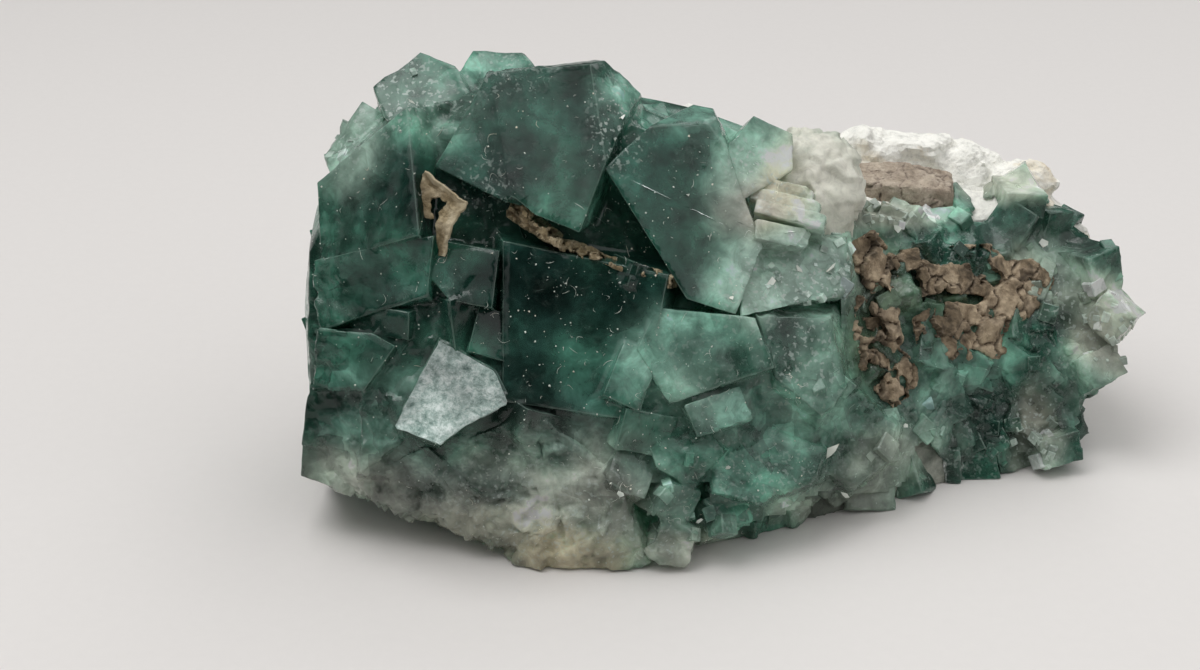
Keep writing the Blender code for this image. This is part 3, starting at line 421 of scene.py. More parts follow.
def meltCrystals(mesh):
    # in the broken zones each point moves part of the way to the mean of its
    # neighbours, again and again, so that small cubes run together
    points = readPoints(mesh)
    ends = np.empty(len(mesh.edges) * 2, dtype=np.int32)
    mesh.edges.foreach_get("vertices", ends)
    first, second = ends[0::2], ends[1::2]
    links = np.bincount(ends, minlength=len(points))[:, None]
    past = breakDepth(points) - crystalBody["meltFrom"]
    share = np.clip(past / crystalBody["meltOver"], 0.0, 1.0)[:, None] * crystalBody["meltMost"]
    for _ in range(crystalBody["meltRounds"]):
        total = np.zeros_like(points)
        for axis in range(3):
            total[:, axis] = (np.bincount(first, points[second, axis], len(points))
                              + np.bincount(second, points[first, axis], len(points)))
        points = points + (total / links - points) * share
    writePoints(mesh, points)


def roughenCrystals(mesh):
    # swells, tilted facets of two sizes and fine grain, added by their shares
    # and scaled by the local break depth; nothing moves below the ground
    points, normals = readPoints(mesh), readNormals(mesh)
    depth = breakDepth(points)
    swells = layeredNoise(points, crystalBody["swell"] * mm, 3, 131)
    facets = cellFacets(points, crystalBody["facetSize"] * mm, 137)[0]
    small = cellFacets(points, crystalBody["fineFacet"] * mm, 139)[0]
    grain = layeredNoise(points, crystalBody["grain"] * mm, 2, 141)
    bySwell, byFacet, bySmall, byGrain = crystalBody["shares"]
    move = (bySwell * swells + byFacet * facets + bySmall * small + byGrain * grain) * depth
    shift = normals * (move * mm)[:, None]
    shift[:, 2] *= np.clip(points[:, 2] / (crystalBody["footFade"] * mm), 0.0, 1.0)
    points = points + shift
    points[:, 2] = np.maximum(points[:, 2], 0.0)
    writePoints(mesh, points)


def splitFaces(work):
    # halve every side over the longest length allowed at its middle
    calm, brokenUp = crystalBody["longestCalm"], crystalBody["longestBroken"]
    for _ in range(crystalBody["rounds"]):
        ends = np.array([(*edge.verts[0].co, *edge.verts[1].co) for edge in work.edges])
        lengths = np.linalg.norm(ends[:, 3:] - ends[:, :3], axis=1)
        middles = (ends[:, 3:] + ends[:, :3]) / 2.0
        broken = np.clip(breakDepth(middles) / crystalBody["brokenAt"], 0.0, 1.0)
        low = middles[:, 2] < crystalBody["backHeight"] * mm
        back = np.where(low, crystalBody["backLow"], crystalBody["backHigh"]) * mm
        longest = np.where(middles[:, 1] > back, crystalBody["longestBack"],
                           calm + (brokenUp - calm) * broken)
        longEdges = [edge for edge, over in zip(work.edges, lengths > longest * mm) if over]
        if not longEdges:
            break
        bmesh.ops.subdivide_edges(work, edges=longEdges, cuts=1, use_grid_fill=False)
        bmesh.ops.triangulate(work, faces=work.faces)


def markCrystals(mesh, points, tint):
    # the tint, how broken the crystal is and how strongly pale glints are painted on
    # it at each point; the deepest breaks are duller again
    setTint(mesh, tint)
    depth = breakDepth(points)
    dull = 1.0 - 0.8 * np.clip((depth - 0.32) / 0.15, 0, 1)
    setNumbers(mesh, "broken", np.clip(depth / 0.24, 0.0, 1.0) * dull)
    setNumbers(mesh, "paintedGlint", highestBell(points, crystalBody["paintedGlint"], 0.0, 0.7, 1.6))


def buildCrystalBody():
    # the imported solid, its flat faces joined again, its edges worn to narrow
    # strips, split fine, then roughened where the crystal broke
    work = mergedNode("fluorite")
    bmesh.ops.dissolve_limit(work, angle_limit=math.radians(crystalBody["flatJoin"]),
                             verts=work.verts, edges=work.edges)
    width = crystalBody["edgeWidth"] * mm
    middles = np.array([tuple((edge.verts[0].co + edge.verts[1].co) / 2.0) for edge in work.edges])
    crisp = breakDepth(middles) < crystalBody["crispBelow"]
    wornEdges = [edge for edge, keep in zip(work.edges, crisp)
                 if keep and len(edge.link_faces) == 2
                 and edge.calc_face_angle_signed(0.0) > math.radians(crystalBody["edgeAngle"])
                 and edge.calc_length() > crystalBody["edgeShortest"] * width]
    # the bevel faces are marked to be painted paler: partly wear, partly painted highlight along
    # the edge
    wornAndHighlit = work.faces.layers.float.new("edgeWearAndHighlight")
    bevel = bmesh.ops.bevel(work, geom=wornEdges, offset=width, offset_type="OFFSET", segments=1,
                            profile=0.5, affect="EDGES", clamp_overlap=False)
    for face in bevel["faces"]:
        face[wornAndHighlit] = 1.0
    bmesh.ops.triangulate(work, faces=work.faces)
    splitFaces(work)
    made = workObject("crystalBody", work)
    points = readPoints(made.data)
    markCrystals(made.data, points, crystalColours(points))
    meltCrystals(made.data)
    roughenCrystals(made.data)
    smoothExcept(made.data, crystalBody["smoothBelow"])
    return made


crystalMass = buildCrystalBody()
print("crystal body", len(crystalMass.data.polygons), "faces")


# a map of how far the crystals stand out over the display face, in mm; only
# points that face it by the share "facing" count

displayMap = {"left": -50.0, "low": -4.0, "wide": 100, "tall": 62, "empty": -99.0, "facing": 0.15}


def mapPlace(across, up, cell):
    # the row and column of a place on the map
    return (up - displayMap["low"]) / cell, (across - displayMap["left"]) / cell


def heightMap(mesh, cell):
    # the outermost point of the body over each cell of the display face
    across, up, out = faceCoordinates(readPoints(mesh))
    facing = displayShare(readNormals(mesh)) > displayMap["facing"]
    rows, columns = mapPlace(across[facing], up[facing], cell)
    size = int(displayMap["tall"] / cell), int(displayMap["wide"] / cell)
    heights = np.full(size, displayMap["empty"])
    np.maximum.at(heights, (rows.astype(int), columns.astype(int)), out[facing])
    return heights


def bellBlur(values, reach):
    # each cell becomes the bell-weighted mean of its column, then of its row
    steps = np.arange(-int(3 * reach) - 1, int(3 * reach) + 2)
    weights = np.exp(-0.5 * (steps / reach) ** 2)
    weights /= weights.sum()
    values = np.apply_along_axis(np.convolve, 0, values, weights, "same")
    return np.apply_along_axis(np.convolve, 1, values, weights, "same")


def gridAt(values, rows, columns):
    # the map's value between its cells, blended along both directions
    row = np.clip(np.floor(rows).astype(int), 0, values.shape[0] - 2)
    column = np.clip(np.floor(columns).astype(int), 0, values.shape[1] - 2)
    down, along = rows - row, columns - column
    near = values[row, column] * (1 - along) + values[row, column + 1] * along
    far = values[row + 1, column] * (1 - along) + values[row + 1, column + 1] * along
    return near * (1 - down) + far * down


# the fused ground between the crystals

groundMass = {
    "cell": 0.9, "grid": 0.5,  # mm, of the height map and of the sheet
    "up": (3.0, 52.0), "across": (-46.0, 46.0),  # mm that the sheet covers
    "blur": 2.4,  # mm, how widely the heights are averaged
    "borderBlur": 1.4, "insideFrom": 0.93,  # mm, and the share that counts as inside
    "drop": 0.85, "fillMost": 1.2,  # mm under the average, and most it fills
    "relief": 0.30, "facetSize": 2.1, "fineFacet": 0.9, "thick": 2.5,  # mm
    "lowest": 0.6,  # mm over the floor
    "deepest": -24.0,  # mm out, the sheet ends before it goes deeper
    "shade": 0.78,  # its tint is this much darker
    "smoothBelow": 30.0,  # degrees
}


def groundArea(across, up, low):
    # where the ground is seen: all of the right end, the low middle and the
    # left end's foot, but not the very bottom
    shown = (low > groundMass["deepest"]) & ((across > 12.5) | ((across > -12.0) & (up < 24.0))
                                             | (up < 26.0))
    return shown & (up > 9.0 - 6.0 * (across > -2.0))


def buildGround():
    # a sheet that fills the clefts: the height map averaged, lowered, kept
    # near the true surface, broken into facets and closed by a lower copy
    cell, grid, blur = groundMass["cell"], groundMass["grid"], groundMass["blur"]
    heights = heightMap(crystalMass.data, cell)
    known = heights != displayMap["empty"]
    weight = np.maximum(bellBlur(known * 1.0, blur / cell), 1e-6)
    mean = bellBlur(np.where(known, heights, 0.0), blur / cell) / weight
    filled = np.where(known, heights, mean)
    inside = bellBlur(known * 1.0, groundMass["borderBlur"] / cell)
    up, across = np.meshgrid(np.arange(*groundMass["up"], grid),
                             np.arange(*groundMass["across"], grid), indexing="ij")
    rows, columns = (part - 0.5 for part in mapPlace(across, up, cell))
    low = gridAt(bellBlur(filled, 0.6), rows, columns)
    out = np.minimum(gridAt(mean, rows, columns) - groundMass["drop"],
                     low + groundMass["fillMost"])
    place = np.stack([across.ravel(), up.ravel(), out.ravel()], axis=1)
    facets = cellFacets(place, groundMass["facetSize"], 171)[0]
    small = cellFacets(place, groundMass["fineFacet"], 173)[0]
    place[:, 2] += (facets + 0.45 * small) * groundMass["relief"]
    under = place - np.array([0.0, 0.0, groundMass["thick"]])
    keep = gridAt(inside, rows, columns).ravel() > groundMass["insideFrom"]
    keep &= facePoint(*under.T)[:, 2] > groundMass["lowest"] * mm
    keep &= groundArea(across, up, low).ravel()
    top = netFaces(*up.shape)[:, [0, 3, 2, 1]]
    top = top[keep[top].all(axis=1)]
    # the border: sides that belong to one face only, closed by a wall
    count = len(place)
    sides = np.concatenate([top[:, [0, 1]], top[:, [1, 2]], top[:, [2, 3]], top[:, [3, 0]]])
    code = sides[:, 0].astype(np.int64) * count + sides[:, 1]
    back = sides[:, 1].astype(np.int64) * count + sides[:, 0]
    start, end = sides[~np.isin(code, back)].T
    wall = np.column_stack([start, start + count, end + count, end])
    faces = np.concatenate([top, top[:, ::-1] + count, wall])
    used, faces = np.unique(faces, return_inverse=True)
    points = facePoint(*np.concatenate([place, under])[used].T)
    made = meshObject("crystalGround", points, faces.reshape(-1, 4).tolist())
    markCrystals(made.data, points, crystalColours(points) * groundMass["shade"])
    setNumbers(made.data, "edgeWearAndHighlight", np.zeros(len(points)))
    smoothExcept(made.data, groundMass["smoothBelow"])
    return made


ground = buildGround()
print("ground", len(ground.data.polygons), "faces")


# small crystals grown on the body

def boxTemplate(chamfer):
    # a box from -1 to 1 with its edges and corners cut: each corner gives
    # three points, each pulled in along two of the three directions
    corners = np.array(list(np.ndindex(2, 2, 2))) * 2.0 - 1.0
    points = np.concatenate([corners * np.where(np.arange(3) == axis, 1.0, 1.0 - chamfer)
                             for axis in range(3)])
    work = bmesh.new()
    for point in points:
        work.verts.new(point)
    bmesh.ops.convex_hull(work, input=work.verts)
    bmesh.ops.dissolve_limit(work, angle_limit=math.radians(1.0),
                             verts=work.verts, edges=work.edges)
    work.verts.index_update()
    template = np.array([tuple(vert.co) for vert in work.verts])
    faces = [[vert.index for vert in face.verts] for face in work.faces]
    edgeFaces = [face.calc_area() < 1.5 for face in work.faces]
    work.free()
    return template, faces, edgeFaces


def placeOrder(triangles):
    # the triangles in an order that hangs on their places only: the corners
    # by a code made of their three numbers, the triangles by their middles
    finest = 0.001 * mm
    code = np.round(triangles / finest).astype(np.int64) @ np.array([1, 200003, 40001200009])
    turn = np.argsort(code, axis=1)
    triangles = np.take_along_axis(triangles, turn[:, :, None], axis=1)
    return triangles, np.lexsort(np.round(triangles.sum(axis=1) / finest).T)


def surfaceSamples(mesh, count, seed):
    # random spots spread evenly by area over a mesh, with the normals there:
    # the square-root rule for a point in a triangle, the triangles taken in
    # order of their place and not in the mesh's own order
    chance = np.random.default_rng(seed)
    mesh.calc_loop_triangles()
    corners = np.empty(len(mesh.loop_triangles) * 3, dtype=np.int32)
    mesh.loop_triangles.foreach_get("vertices", corners)
    triangles = readPoints(mesh)[corners.reshape(-1, 3)]
    crossed = np.cross(triangles[:, 1] - triangles[:, 0], triangles[:, 2] - triangles[:, 0])
    triangles, order = placeOrder(triangles)
    triangles, crossed = triangles[order], crossed[order]
    areas = np.linalg.norm(crossed, axis=1)
    picked = chance.choice(len(areas), size=count, p=areas / areas.sum())
    first = np.sqrt(chance.random(count))[:, None]
    second = chance.random(count)[:, None]
    chosen = triangles[picked]
    spots = (chosen[:, 0] * (1 - first) + chosen[:, 1] * first * (1 - second)
             + chosen[:, 2] * first * second)
    return spots, crossed[picked] / areas[picked][:, None]


def crystalTurns(normals, tilt, seed, along=None):
    # three axes for each crystal: the surface normal leant by a random
    # amount, then two at right angles to it, spun at random or laid along a
    # given direction
    chance = np.random.default_rng(seed)
    upward = normals + chance.normal(0.0, tilt, normals.shape)
    upward /= np.linalg.norm(upward, axis=1)[:, None]
    guide = chance.normal(0.0, 1.0, normals.shape) if along is None else along + 0.0 * normals
    side = np.cross(upward, guide)
    side /= np.linalg.norm(side, axis=1)[:, None]
    third = np.cross(upward, side)
    return np.stack([side, third, upward], axis=2)


def scatterBoxes(name, spots, turns, halves, chamfer):
    # every box is the template scaled by its three half sizes, turned by
    # its three axes and moved to its spot
    template, faces, edgeFaces = boxTemplate(chamfer)
    points = np.einsum("nij,nvj->nvi", turns, template[None] * halves[:, None, :])
    points += spots[:, None, :]
    count = len(template)
    allFaces = [[corner + count * box for corner in face]
                for box in range(len(spots)) for face in faces]
    made = meshObject(name, points.reshape(-1, 3), allFaces)
    # the cut edges are marked to be painted paler: partly wear, partly painted highlight
    setNumbers(made.data, "edgeWearAndHighlight", np.tile(edgeFaces, len(spots)), "FACE")
    return made


druse = {
    "tries": 5000,  # spots tried over the whole body
    "spacing": 2.7,  # mm between neighbours
    "halfEdge": (0.35, 1.15),  # mm
    "tilt": 0.30,  # how far they lean off the surface
    "sink": 0.80,  # of the half edge
    "chamfer": 0.12,
    "lowest": 1.2,  # mm over the floor
    "front": 0.3,  # normals that point farther back than this grow none
    "bend": 9.0,  # mm over which neighbours turn apart
    "mottle": 0.22,  # how far the tints of neighbours differ
    # the tint: times this, then towards this colour by this share
    "brighter": 1.05, "light": (0.0, 0.0, 0.0), "lightShare": 0.0,
    # where they grow: across, up, half width, half height, share kept
    "zones": [(29, 24, 18, 16, 0.28), (4, 9, 12, 7, 0.30), (44, 24, 5, 14, 0.3),
              (8.5, 22, 4, 4, 0.25), (20, 10, 12, 6, 0.35), (-9, 5, 4, 4, 0.3),
              (15, 31, 4, 6, 0.4)],
}
paleDruse = dict(
    druse, tries=9000, spacing=1.5, halfEdge=(0.20, 0.62), tilt=0.22, sink=0.60,
    brighter=1.0, light=(0.68, 0.82, 0.73), lightShare=0.62,
    zones=[(8.5, 31, 5.0, 2.8, 0.65), (12.5, 34, 2.0, 3.0, 0.6), (20, 38.4, 6.5, 1.8, 0.8),
           (-41.6, 46.4, 2.0, 2.6, 0.6), (-35.5, 51.4, 3.6, 2.4, 0.15), (44.6, 25, 3.4, 3.8, 0.9),
           (36.6, 12.5, 2.6, 4.0, 0.8)])


def growDruse(name, looks, seed):
    # boxes grown on the body: spots by chance in the zones, thinned out, each
    # leaning off the surface a little and turned like its neighbours
    chance = np.random.default_rng(seed)
    spots, normals = surfaceSamples(crystalMass.data, looks["tries"], seed + 1)
    seen = chance.random(len(spots)) < zoneShare(spots, looks["zones"])
    seen &= (spots[:, 2] > looks["lowest"] * mm) & (normals[:, 1] < looks["front"])
    spots, normals = spots[seen], normals[seen]
    # thin them out: a spot stays if no earlier one shares its small cell
    cells = np.floor(spots / (looks["spacing"] * mm)).astype(np.int64)
    first = np.unique(cells, axis=0, return_index=True)[1]
    spots, normals = spots[first], normals[first]
    low, high = looks["halfEdge"]
    size = low + (high - low) * chance.random(len(spots)) ** 2.0
    halves = size[:, None] * (0.75 + 0.5 * chance.random((len(spots), 3))) * mm
    sunk = spots - normals * (size * looks["sink"] * mm)[:, None]
    angle = 2.4 * layeredNoise(spots, looks["bend"] * mm, 2, seed + 2)
    along = np.stack([np.cos(angle), np.sin(angle) * 0.5, np.sin(angle)], axis=1)
    turns = crystalTurns(normals, looks["tilt"], seed + 3, along)
    made = scatterBoxes(name, sunk, turns, halves, looks["chamfer"])
    each = len(made.data.vertices) // len(sunk)
    centres = np.repeat(sunk, each, axis=0)
    own = np.repeat(np.exp(looks["mottle"] * chance.normal(0.0, 1.0, len(sunk))), each)
    tint = crystalColours(centres) * own[:, None] * looks["brighter"]
    tint = tint + (np.array(looks["light"]) - tint) * looks["lightShare"]
    markCrystals(made.data, centres, np.clip(tint, 0.0, 0.93))
    return made, len(sunk)


druseCrystals, druseCount = growDruse("druseCrystals", druse, 11)
paleCrystals, paleCount = growDruse("paleCrystals", paleDruse, 31)
print("druse", druseCount, "green and", paleCount, "pale small crystals")


# the pale lump beside the small crystals

paleLump = {
    "middle": (10.1, 40.3, -10.0), "halves": (5.4, 6.8, 4.4),  # mm on the display face
    "square": 2.6,  # 2 is a ball, more is squarer
    "facetSize": 3.4, "swell": 3.0, "relief": 0.72,  # mm: two widths, one depth
    "grainSize": 0.6, "grain": 0.12,
    "rings": 90, "spokes": 140,
}


def buildLump():
    # a ball from two angles, squared a little and stretched to its three half
    # sizes, then raised by facets, swells and grain
    rings, spokes, square = paleLump["rings"], paleLump["spokes"], paleLump["square"]
    down = np.linspace(0.0, math.pi, rings + 1)[1:-1]
    around = np.arange(spokes) * 2.0 * math.pi / spokes
    v, u = (part.ravel() for part in np.meshgrid(down, around, indexing="ij"))
    ball = np.stack([np.sin(v) * np.cos(u), np.cos(v), np.sin(v) * np.sin(u)], axis=1)
    ball = np.concatenate([ball, [[0.0, 1.0, 0.0], [0.0, -1.0, 0.0]]])
    ball = ball / (np.abs(ball) ** square).sum(axis=1)[:, None] ** (1.0 / square)
    place = ball * np.array(paleLump["halves"])
    facets = cellFacets(place + 50.0, paleLump["facetSize"], 151)[0]
    move = (facets * 0.8 + layeredNoise(place, paleLump["swell"], 3, 153)) * paleLump["relief"]
    move += layeredNoise(place, paleLump["grainSize"], 2, 157) * paleLump["grain"]
    place = place * (1.0 + move / 5.0)[:, None] + np.array(paleLump["middle"])
    index = np.arange((rings - 1) * spokes).reshape(rings - 1, spokes)
    after = np.roll(index, -1, axis=1)
    sides = np.stack([index[:-1], after[:-1], after[1:], index[1:]], axis=-1).reshape(-1, 4)
    top, foot = np.full(spokes, len(place) - 2), np.full(spokes, len(place) - 1)
    caps = np.concatenate([np.stack([top, after[0], index[0]], axis=1),
                           np.stack([foot, index[-1], after[-1]], axis=1)])
    made = meshObject("paleLump", facePoint(*place.T), sides.tolist() + caps.tolist())
    made.data.shade_smooth()
    return made


lump = buildLump()
print("pale lump")


# single bright flakes

flakes = {
    # across, up, length, width in mm, turn in degrees
    "spots": [
        (0.4, 11.0, 1.1, 0.7, 20), (11.7, 12.4, 2.2, 1.1, 60), (15.2, 22.5, 1.5, 1.2, 10),
        (20.3, 25.5, 0.8, 0.7, 40), (13.4, 7.6, 1.1, 1.0, -30), (20.5, 14.9, 0.8, 0.6, 15),
        (20.0, 36.7, 1.3, 1.2, 5), (38.0, 35.4, 1.5, 0.9, -25), (39.3, 29.4, 1.0, 0.6, 35),
        (4.9, 30.2, 1.7, 1.2, 30), (8.1, 31.9, 1.6, 0.6, -50), (11.5, 31.9, 1.8, 0.5, 40),
        (0.7, 28.7, 0.7, 0.5, 10), (-3.8, 39.4, 0.5, 0.3, 0), (-10.9, 8.5, 1.0, 0.6, -30),
        (-2.5, 5.4, 0.9, 0.5, 20), (-32.5, 49.0, 1.1, 0.4, -40), (-10.6, 47.5, 0.8, 0.5, 30),
    ],
    "thick": 0.3, "lift": 0.04,  # mm
    "cell": 0.9,  # mm, of the height map that they lie on
    "lean": 0.45,  # how steeply they lean at random
}


def buildFlakes():
    # thin five-cornered shards, their corners pulled in by chance, laid on the
    # height map of the crystals and leant a little
    chance = np.random.default_rng(401)
    table = np.array(flakes["spots"])
    across, up, length, width, degrees = (table[:, i:i + 1] for i in range(5))
    heights = heightMap(crystalMass.data, flakes["cell"])
    row, column = (np.round(part - 0.5).astype(int)[:, 0]
                   for part in mapPlace(across, up, flakes["cell"]))
    near = np.stack([heights[row, column], heights[row + 1, column], heights[row, column + 1]])
    out = near.max(axis=0) + flakes["lift"]
    angles = np.radians(np.arange(5) * 72.0)[None] + chance.normal(0.0, 0.30, (len(table), 5))
    reach = 0.45 + 0.75 * chance.random((len(table), 5))
    long = np.cos(angles) * reach * length / 2.0
    wide = np.sin(angles) * reach * width / 2.0
    turn = np.radians(degrees)
    lean = chance.normal(0.0, flakes["lean"], (2, len(table), 1))
    x = across + long * np.cos(turn) - wide * np.sin(turn)
    y = up + long * np.sin(turn) + wide * np.cos(turn)
    z = out[:, None] + long * lean[0] + wide * lean[1]
    plates = [facePoint(x, y, z), facePoint(x, y, z - flakes["thick"])]
    points = np.concatenate(plates, axis=1).reshape(-1, 3)
    start = 10 * np.arange(len(table))[:, None]
    caps = (start + np.arange(5)).tolist() + (start + np.arange(9, 4, -1)).tolist()
    ring = [[i, i + 5, (i + 1) % 5 + 5, (i + 1) % 5] for i in range(5)]
    sides = (start[:, :, None] + np.array(ring)[None]).reshape(-1, 4).tolist()
    return meshObject("brightFlakes", points, caps + sides)


brightFlakes = buildFlakes()
print("bright flakes", len(flakes["spots"]))


# dust on the crystals: short hairs and specks; the pale specks also stand in for glints, as painted
# highlights

dustAndGlints = {
    "hairs": 250, "hairLength": (0.3, 1.4), "hairHalf": 0.022,  # mm
    "hairSteps": 7, "bow": 0.35,  # points along a hair, and its bend of its length
    "specks": 700, "speckHalf": (0.035, 0.14),  # mm
    "lift": 0.03,  # mm over the crystal
    "facing": 0.35,  # least share that the crystal faces the display side
    "triesEach": 14,  # spots tried for each one wanted
    # where it lies: across, up, half width, half height, share kept
    "zones": [(-15, 26, 11, 12, 1.0), (-20, 42, 12, 10, 0.6), (-36, 34, 9, 16, 0.5),
              (-3, 36, 8, 10, 0.6), (-2, 14, 12, 12, 0.7), (-30, 16, 10, 8, 0.4),
              (-18, 8, 9, 6, 0.6)],
}


def dustAndGlintSpots(count, seed):
    # spots on the display side, kept by the share of the zone they fall in
    chance = np.random.default_rng(seed)
    spots, normals = surfaceSamples(crystalMass.data, count * dustAndGlints["triesEach"], seed + 1)
    kept = chance.random(len(spots)) < zoneShare(spots, dustAndGlints["zones"])
    seen = np.flatnonzero(kept & (displayShare(normals) > dustAndGlints["facing"]))[:count]
    return spots[seen] + normals[seen] * dustAndGlints["lift"] * mm, normals[seen], chance


def buildHairs():
    # each hair is a three-sided tube along a bent line: straight along the
    # surface, bowed sideways by a half sine, thinner at both ends
    spots, normals, chance = dustAndGlintSpots(dustAndGlints["hairs"], 201)
    count, steps = len(spots), dustAndGlints["hairSteps"]
    turns = crystalTurns(normals, 0.05, 205)[:, None]
    low, high = dustAndGlints["hairLength"]
    length = (low + (high - low) * chance.random(count) ** 2) * mm
    bow = chance.normal(0.0, dustAndGlints["bow"], count) * length
    s = np.linspace(0.0, 1.0, steps)
    line = (spots[:, None] + turns[..., 0] * (length[:, None] * (s - 0.5))[..., None]
            + turns[..., 1] * (bow[:, None] * np.sin(math.pi * s))[..., None])
    thick = (dustAndGlints["hairHalf"] * mm * (0.35 + 0.65 * np.sin(math.pi * s)))[None, :, None]
    corners = []
    for corner in range(3):
        angle = 2.0 * math.pi * corner / 3.0
        way = turns[..., 1] * math.cos(angle) + turns[..., 2] * math.sin(angle)
        corners.append(line + way * thick)
    points = np.stack(corners, axis=2).reshape(-1, 3)
    index = np.arange(count * steps * 3).reshape(count, steps, 3)
    after = np.roll(index, -1, axis=2)
    sides = np.stack([index[:, :-1], after[:, :-1], after[:, 1:], index[:, 1:]], axis=-1)
    ends = np.concatenate([index[:, 0, ::-1], index[:, -1]])
    return meshObject("dustHairs", points, sides.reshape(-1, 4).tolist() + ends.tolist())


def buildSpecks():
    # each speck is an eight-sided grain: six points at random reaches
    # the pale grains are dust, and also painted highlights for glints
    spots, normals, chance = dustAndGlintSpots(dustAndGlints["specks"], 211)
    count = len(spots)
    turns = crystalTurns(normals, 0.4, 215)
    low, high = dustAndGlints["speckHalf"]
    half = (low + (high - low) * chance.random(count) ** 2.5)[:, None]
    reach = half * (0.6 + 0.8 * chance.random((count, 6))) * mm
    ways = np.kron(np.eye(3), [[1.0], [-1.0]])
    points = spots[:, None] + np.einsum("nij,nkj->nki", turns, ways[None] * reach[..., None])
    faces = np.array([(0, 2, 4), (2, 1, 4), (1, 3, 4), (3, 0, 4),
                      (2, 0, 5), (1, 2, 5), (3, 1, 5), (0, 3, 5)])
    index = (faces[None] + 6 * np.arange(count)[:, None, None]).reshape(-1, 3)
    return meshObject("dustAndGlintSpecks", points.reshape(-1, 3), index.tolist())


hairs = buildHairs()
specks = buildSpecks()
print("dustAndGlints", len(hairs.data.polygons), len(specks.data.polygons), "faces")


# the frosted face

frostedFace = {
    # across, up, out of three corners that give the plane, then the outline
    # from the left corner to the right one over the top, and under it
    "plane": ((-29.6, 24.6, 3.4), (-29.2, 13.6, 7.2), (-34.0, 15.4, 6.2)),
    "over": ((-33.9, 15.6), (-29.6, 24.3), (-23.9, 21.2), (-22.4, 18.2)),
    "under": ((-33.7, 15.3), (-29.2, 13.8), (-26.7, 15.7), (-22.5, 17.8)),
    "lift": 0.16, "thick": 0.34, "relief": 0.16, "grain": 0.04, "ragged": 0.14,  # mm
    "terraces": 7.0,  # to each unit of the noise that makes them
    "grid": 100,
}


def alongChain(chain, share):
    # points at given shares of the length of a broken line
    chain = np.array(chain)
    steps = np.linalg.norm(np.diff(chain, axis=0), axis=1)
    lengths = np.concatenate([[0.0], np.cumsum(steps)])
    return np.stack([np.interp(share * lengths[-1], lengths, chain[:, axis])
                     for axis in range(2)], axis=1)


def buildFrostedFace():
    # a sheet between two broken lines: across by the share along both, and
    # up by the mix between them, laid on the plane and raised by a terraced
    # noise that dies out at the border
    count, terraces = frostedFace["grid"], frostedFace["terraces"]
    s, t = netShares(count)
    over, under = alongChain(frostedFace["over"], s), alongChain(frostedFace["under"], s)
    flat = over * (1.0 - t)[:, None] + under * t[:, None]
    border = np.minimum(np.minimum(s, 1 - s), np.minimum(t, 1 - t))
    inner = np.clip(border * 14.0, 0.0, 1.0)
    corners = np.array(frostedFace["plane"])
    slope = np.cross(corners[1] - corners[0], corners[2] - corners[0])
    out = corners[0, 2] - ((flat - corners[0, :2]) * slope[:2]).sum(axis=1) / slope[2]
    place = np.column_stack([flat, out])
    wobble = layeredNoise(place * np.array([1.0, 1.0, 0.0]), 2.2, 4, 71)
    raised = np.floor(wobble * terraces) / terraces * frostedFace["relief"]
    raised = raised + layeredNoise(place, 0.35, 2, 74) * frostedFace["grain"]
    place[:, 2] += frostedFace["lift"] + (raised + 0.08) * inner
    for axis in range(2):
        ragged = layeredNoise(place + 40.0, 1.1, 2, 77 + axis) * frostedFace["ragged"]
        place[:, axis] += ragged * (1.0 - inner)
    made = meshObject("frostedFace", facePoint(*place.T), netFaces(count, count).tolist())
    # brighter towards the lower left border, greyer up the middle
    dull = 0.62 + 0.55 * np.clip(t - s * 0.6, 0.0, 1.0) + 0.35 * layeredNoise(place, 3.0, 3, 79)
    setNumbers(made.data, "shade", np.clip(dull, 0.35, 1.2))
    thicken(made, frostedFace["thick"], -1.0)
    return made


frosted = buildFrostedFace()
print("frosted face")


# the matrix rock

rockSkin = {
    "voxel": 0.55,  # mm, of the net of faces
    "lumps": 0.55, "lumpSize": 5.0,  # mm of broad relief, and its width
    "grain": 0.26, "grainSize": 1.5,
    "pits": 0.42, "pitSize": 2.4,
    # the knob is crumblier by this factor, from this height, within this rise
    "knobExtra": 1.9, "knobFrom": 26.0, "knobOver": 3.0,
    "footFade": 1.5,  # mm above the ground in which the relief sets in
    # how the knob's crest rises and falls: across, and mm upwards, then the
    # height it starts at and the rise within which it does
    "crest": [(12, -1.0), (15, -1.2), (18, 0.8), (21, -0.6), (25, -1.4), (29, -1.0),
              (34, 0.0), (40, 0.0)],
    "crestFrom": 30.0, "crestOver": 4.0,
}


def crumble(mesh, skin):
    # each point moves along its normal: broad ridged lumps plus fine grain,
    # less a pit wherever a third noise is high; nothing moves below the base
    points, normals = readPoints(mesh), readNormals(mesh)
    lumps = layeredNoise(points, skin["lumpSize"] * mm, 4, 51, ridged=True) * skin["lumps"]
    grain = layeredNoise(points, skin["grainSize"] * mm, 3, 57) * skin["grain"]
    deep = np.clip(layeredNoise(points, skin["pitSize"] * mm, 2, 61) - 0.25, 0.0, 1.0)
    move = lumps * 0.6 + grain - deep * skin["pits"] * 2.0
    knob = np.clip((points[:, 2] / mm - skin["knobFrom"]) / skin["knobOver"], 0.0, 1.0)
    move = move * (1.0 + (skin["knobExtra"] - 1.0) * knob)
    base = np.clip(points[:, 2] / (skin["footFade"] * mm), 0.0, 1.0)
    points = points + normals * (move * base * mm)[:, None]
    across = faceCoordinates(points)[0]
    crest = np.interp(across, *np.array(skin["crest"]).T)
    high = np.clip((points[:, 2] / mm - skin["crestFrom"]) / skin["crestOver"], 0.0, 1.0)
    points[:, 2] += crest * high * mm
    points[:, 2] = np.maximum(points[:, 2], 0.0)
    writePoints(mesh, points)


rock = workObject("matrixRock", mergedNode("host_rock"))
evenSkin(rock, rockSkin["voxel"])
crumble(rock.data, rockSkin)
print("matrix rock", len(rock.data.polygons), "faces")


# the dried clay

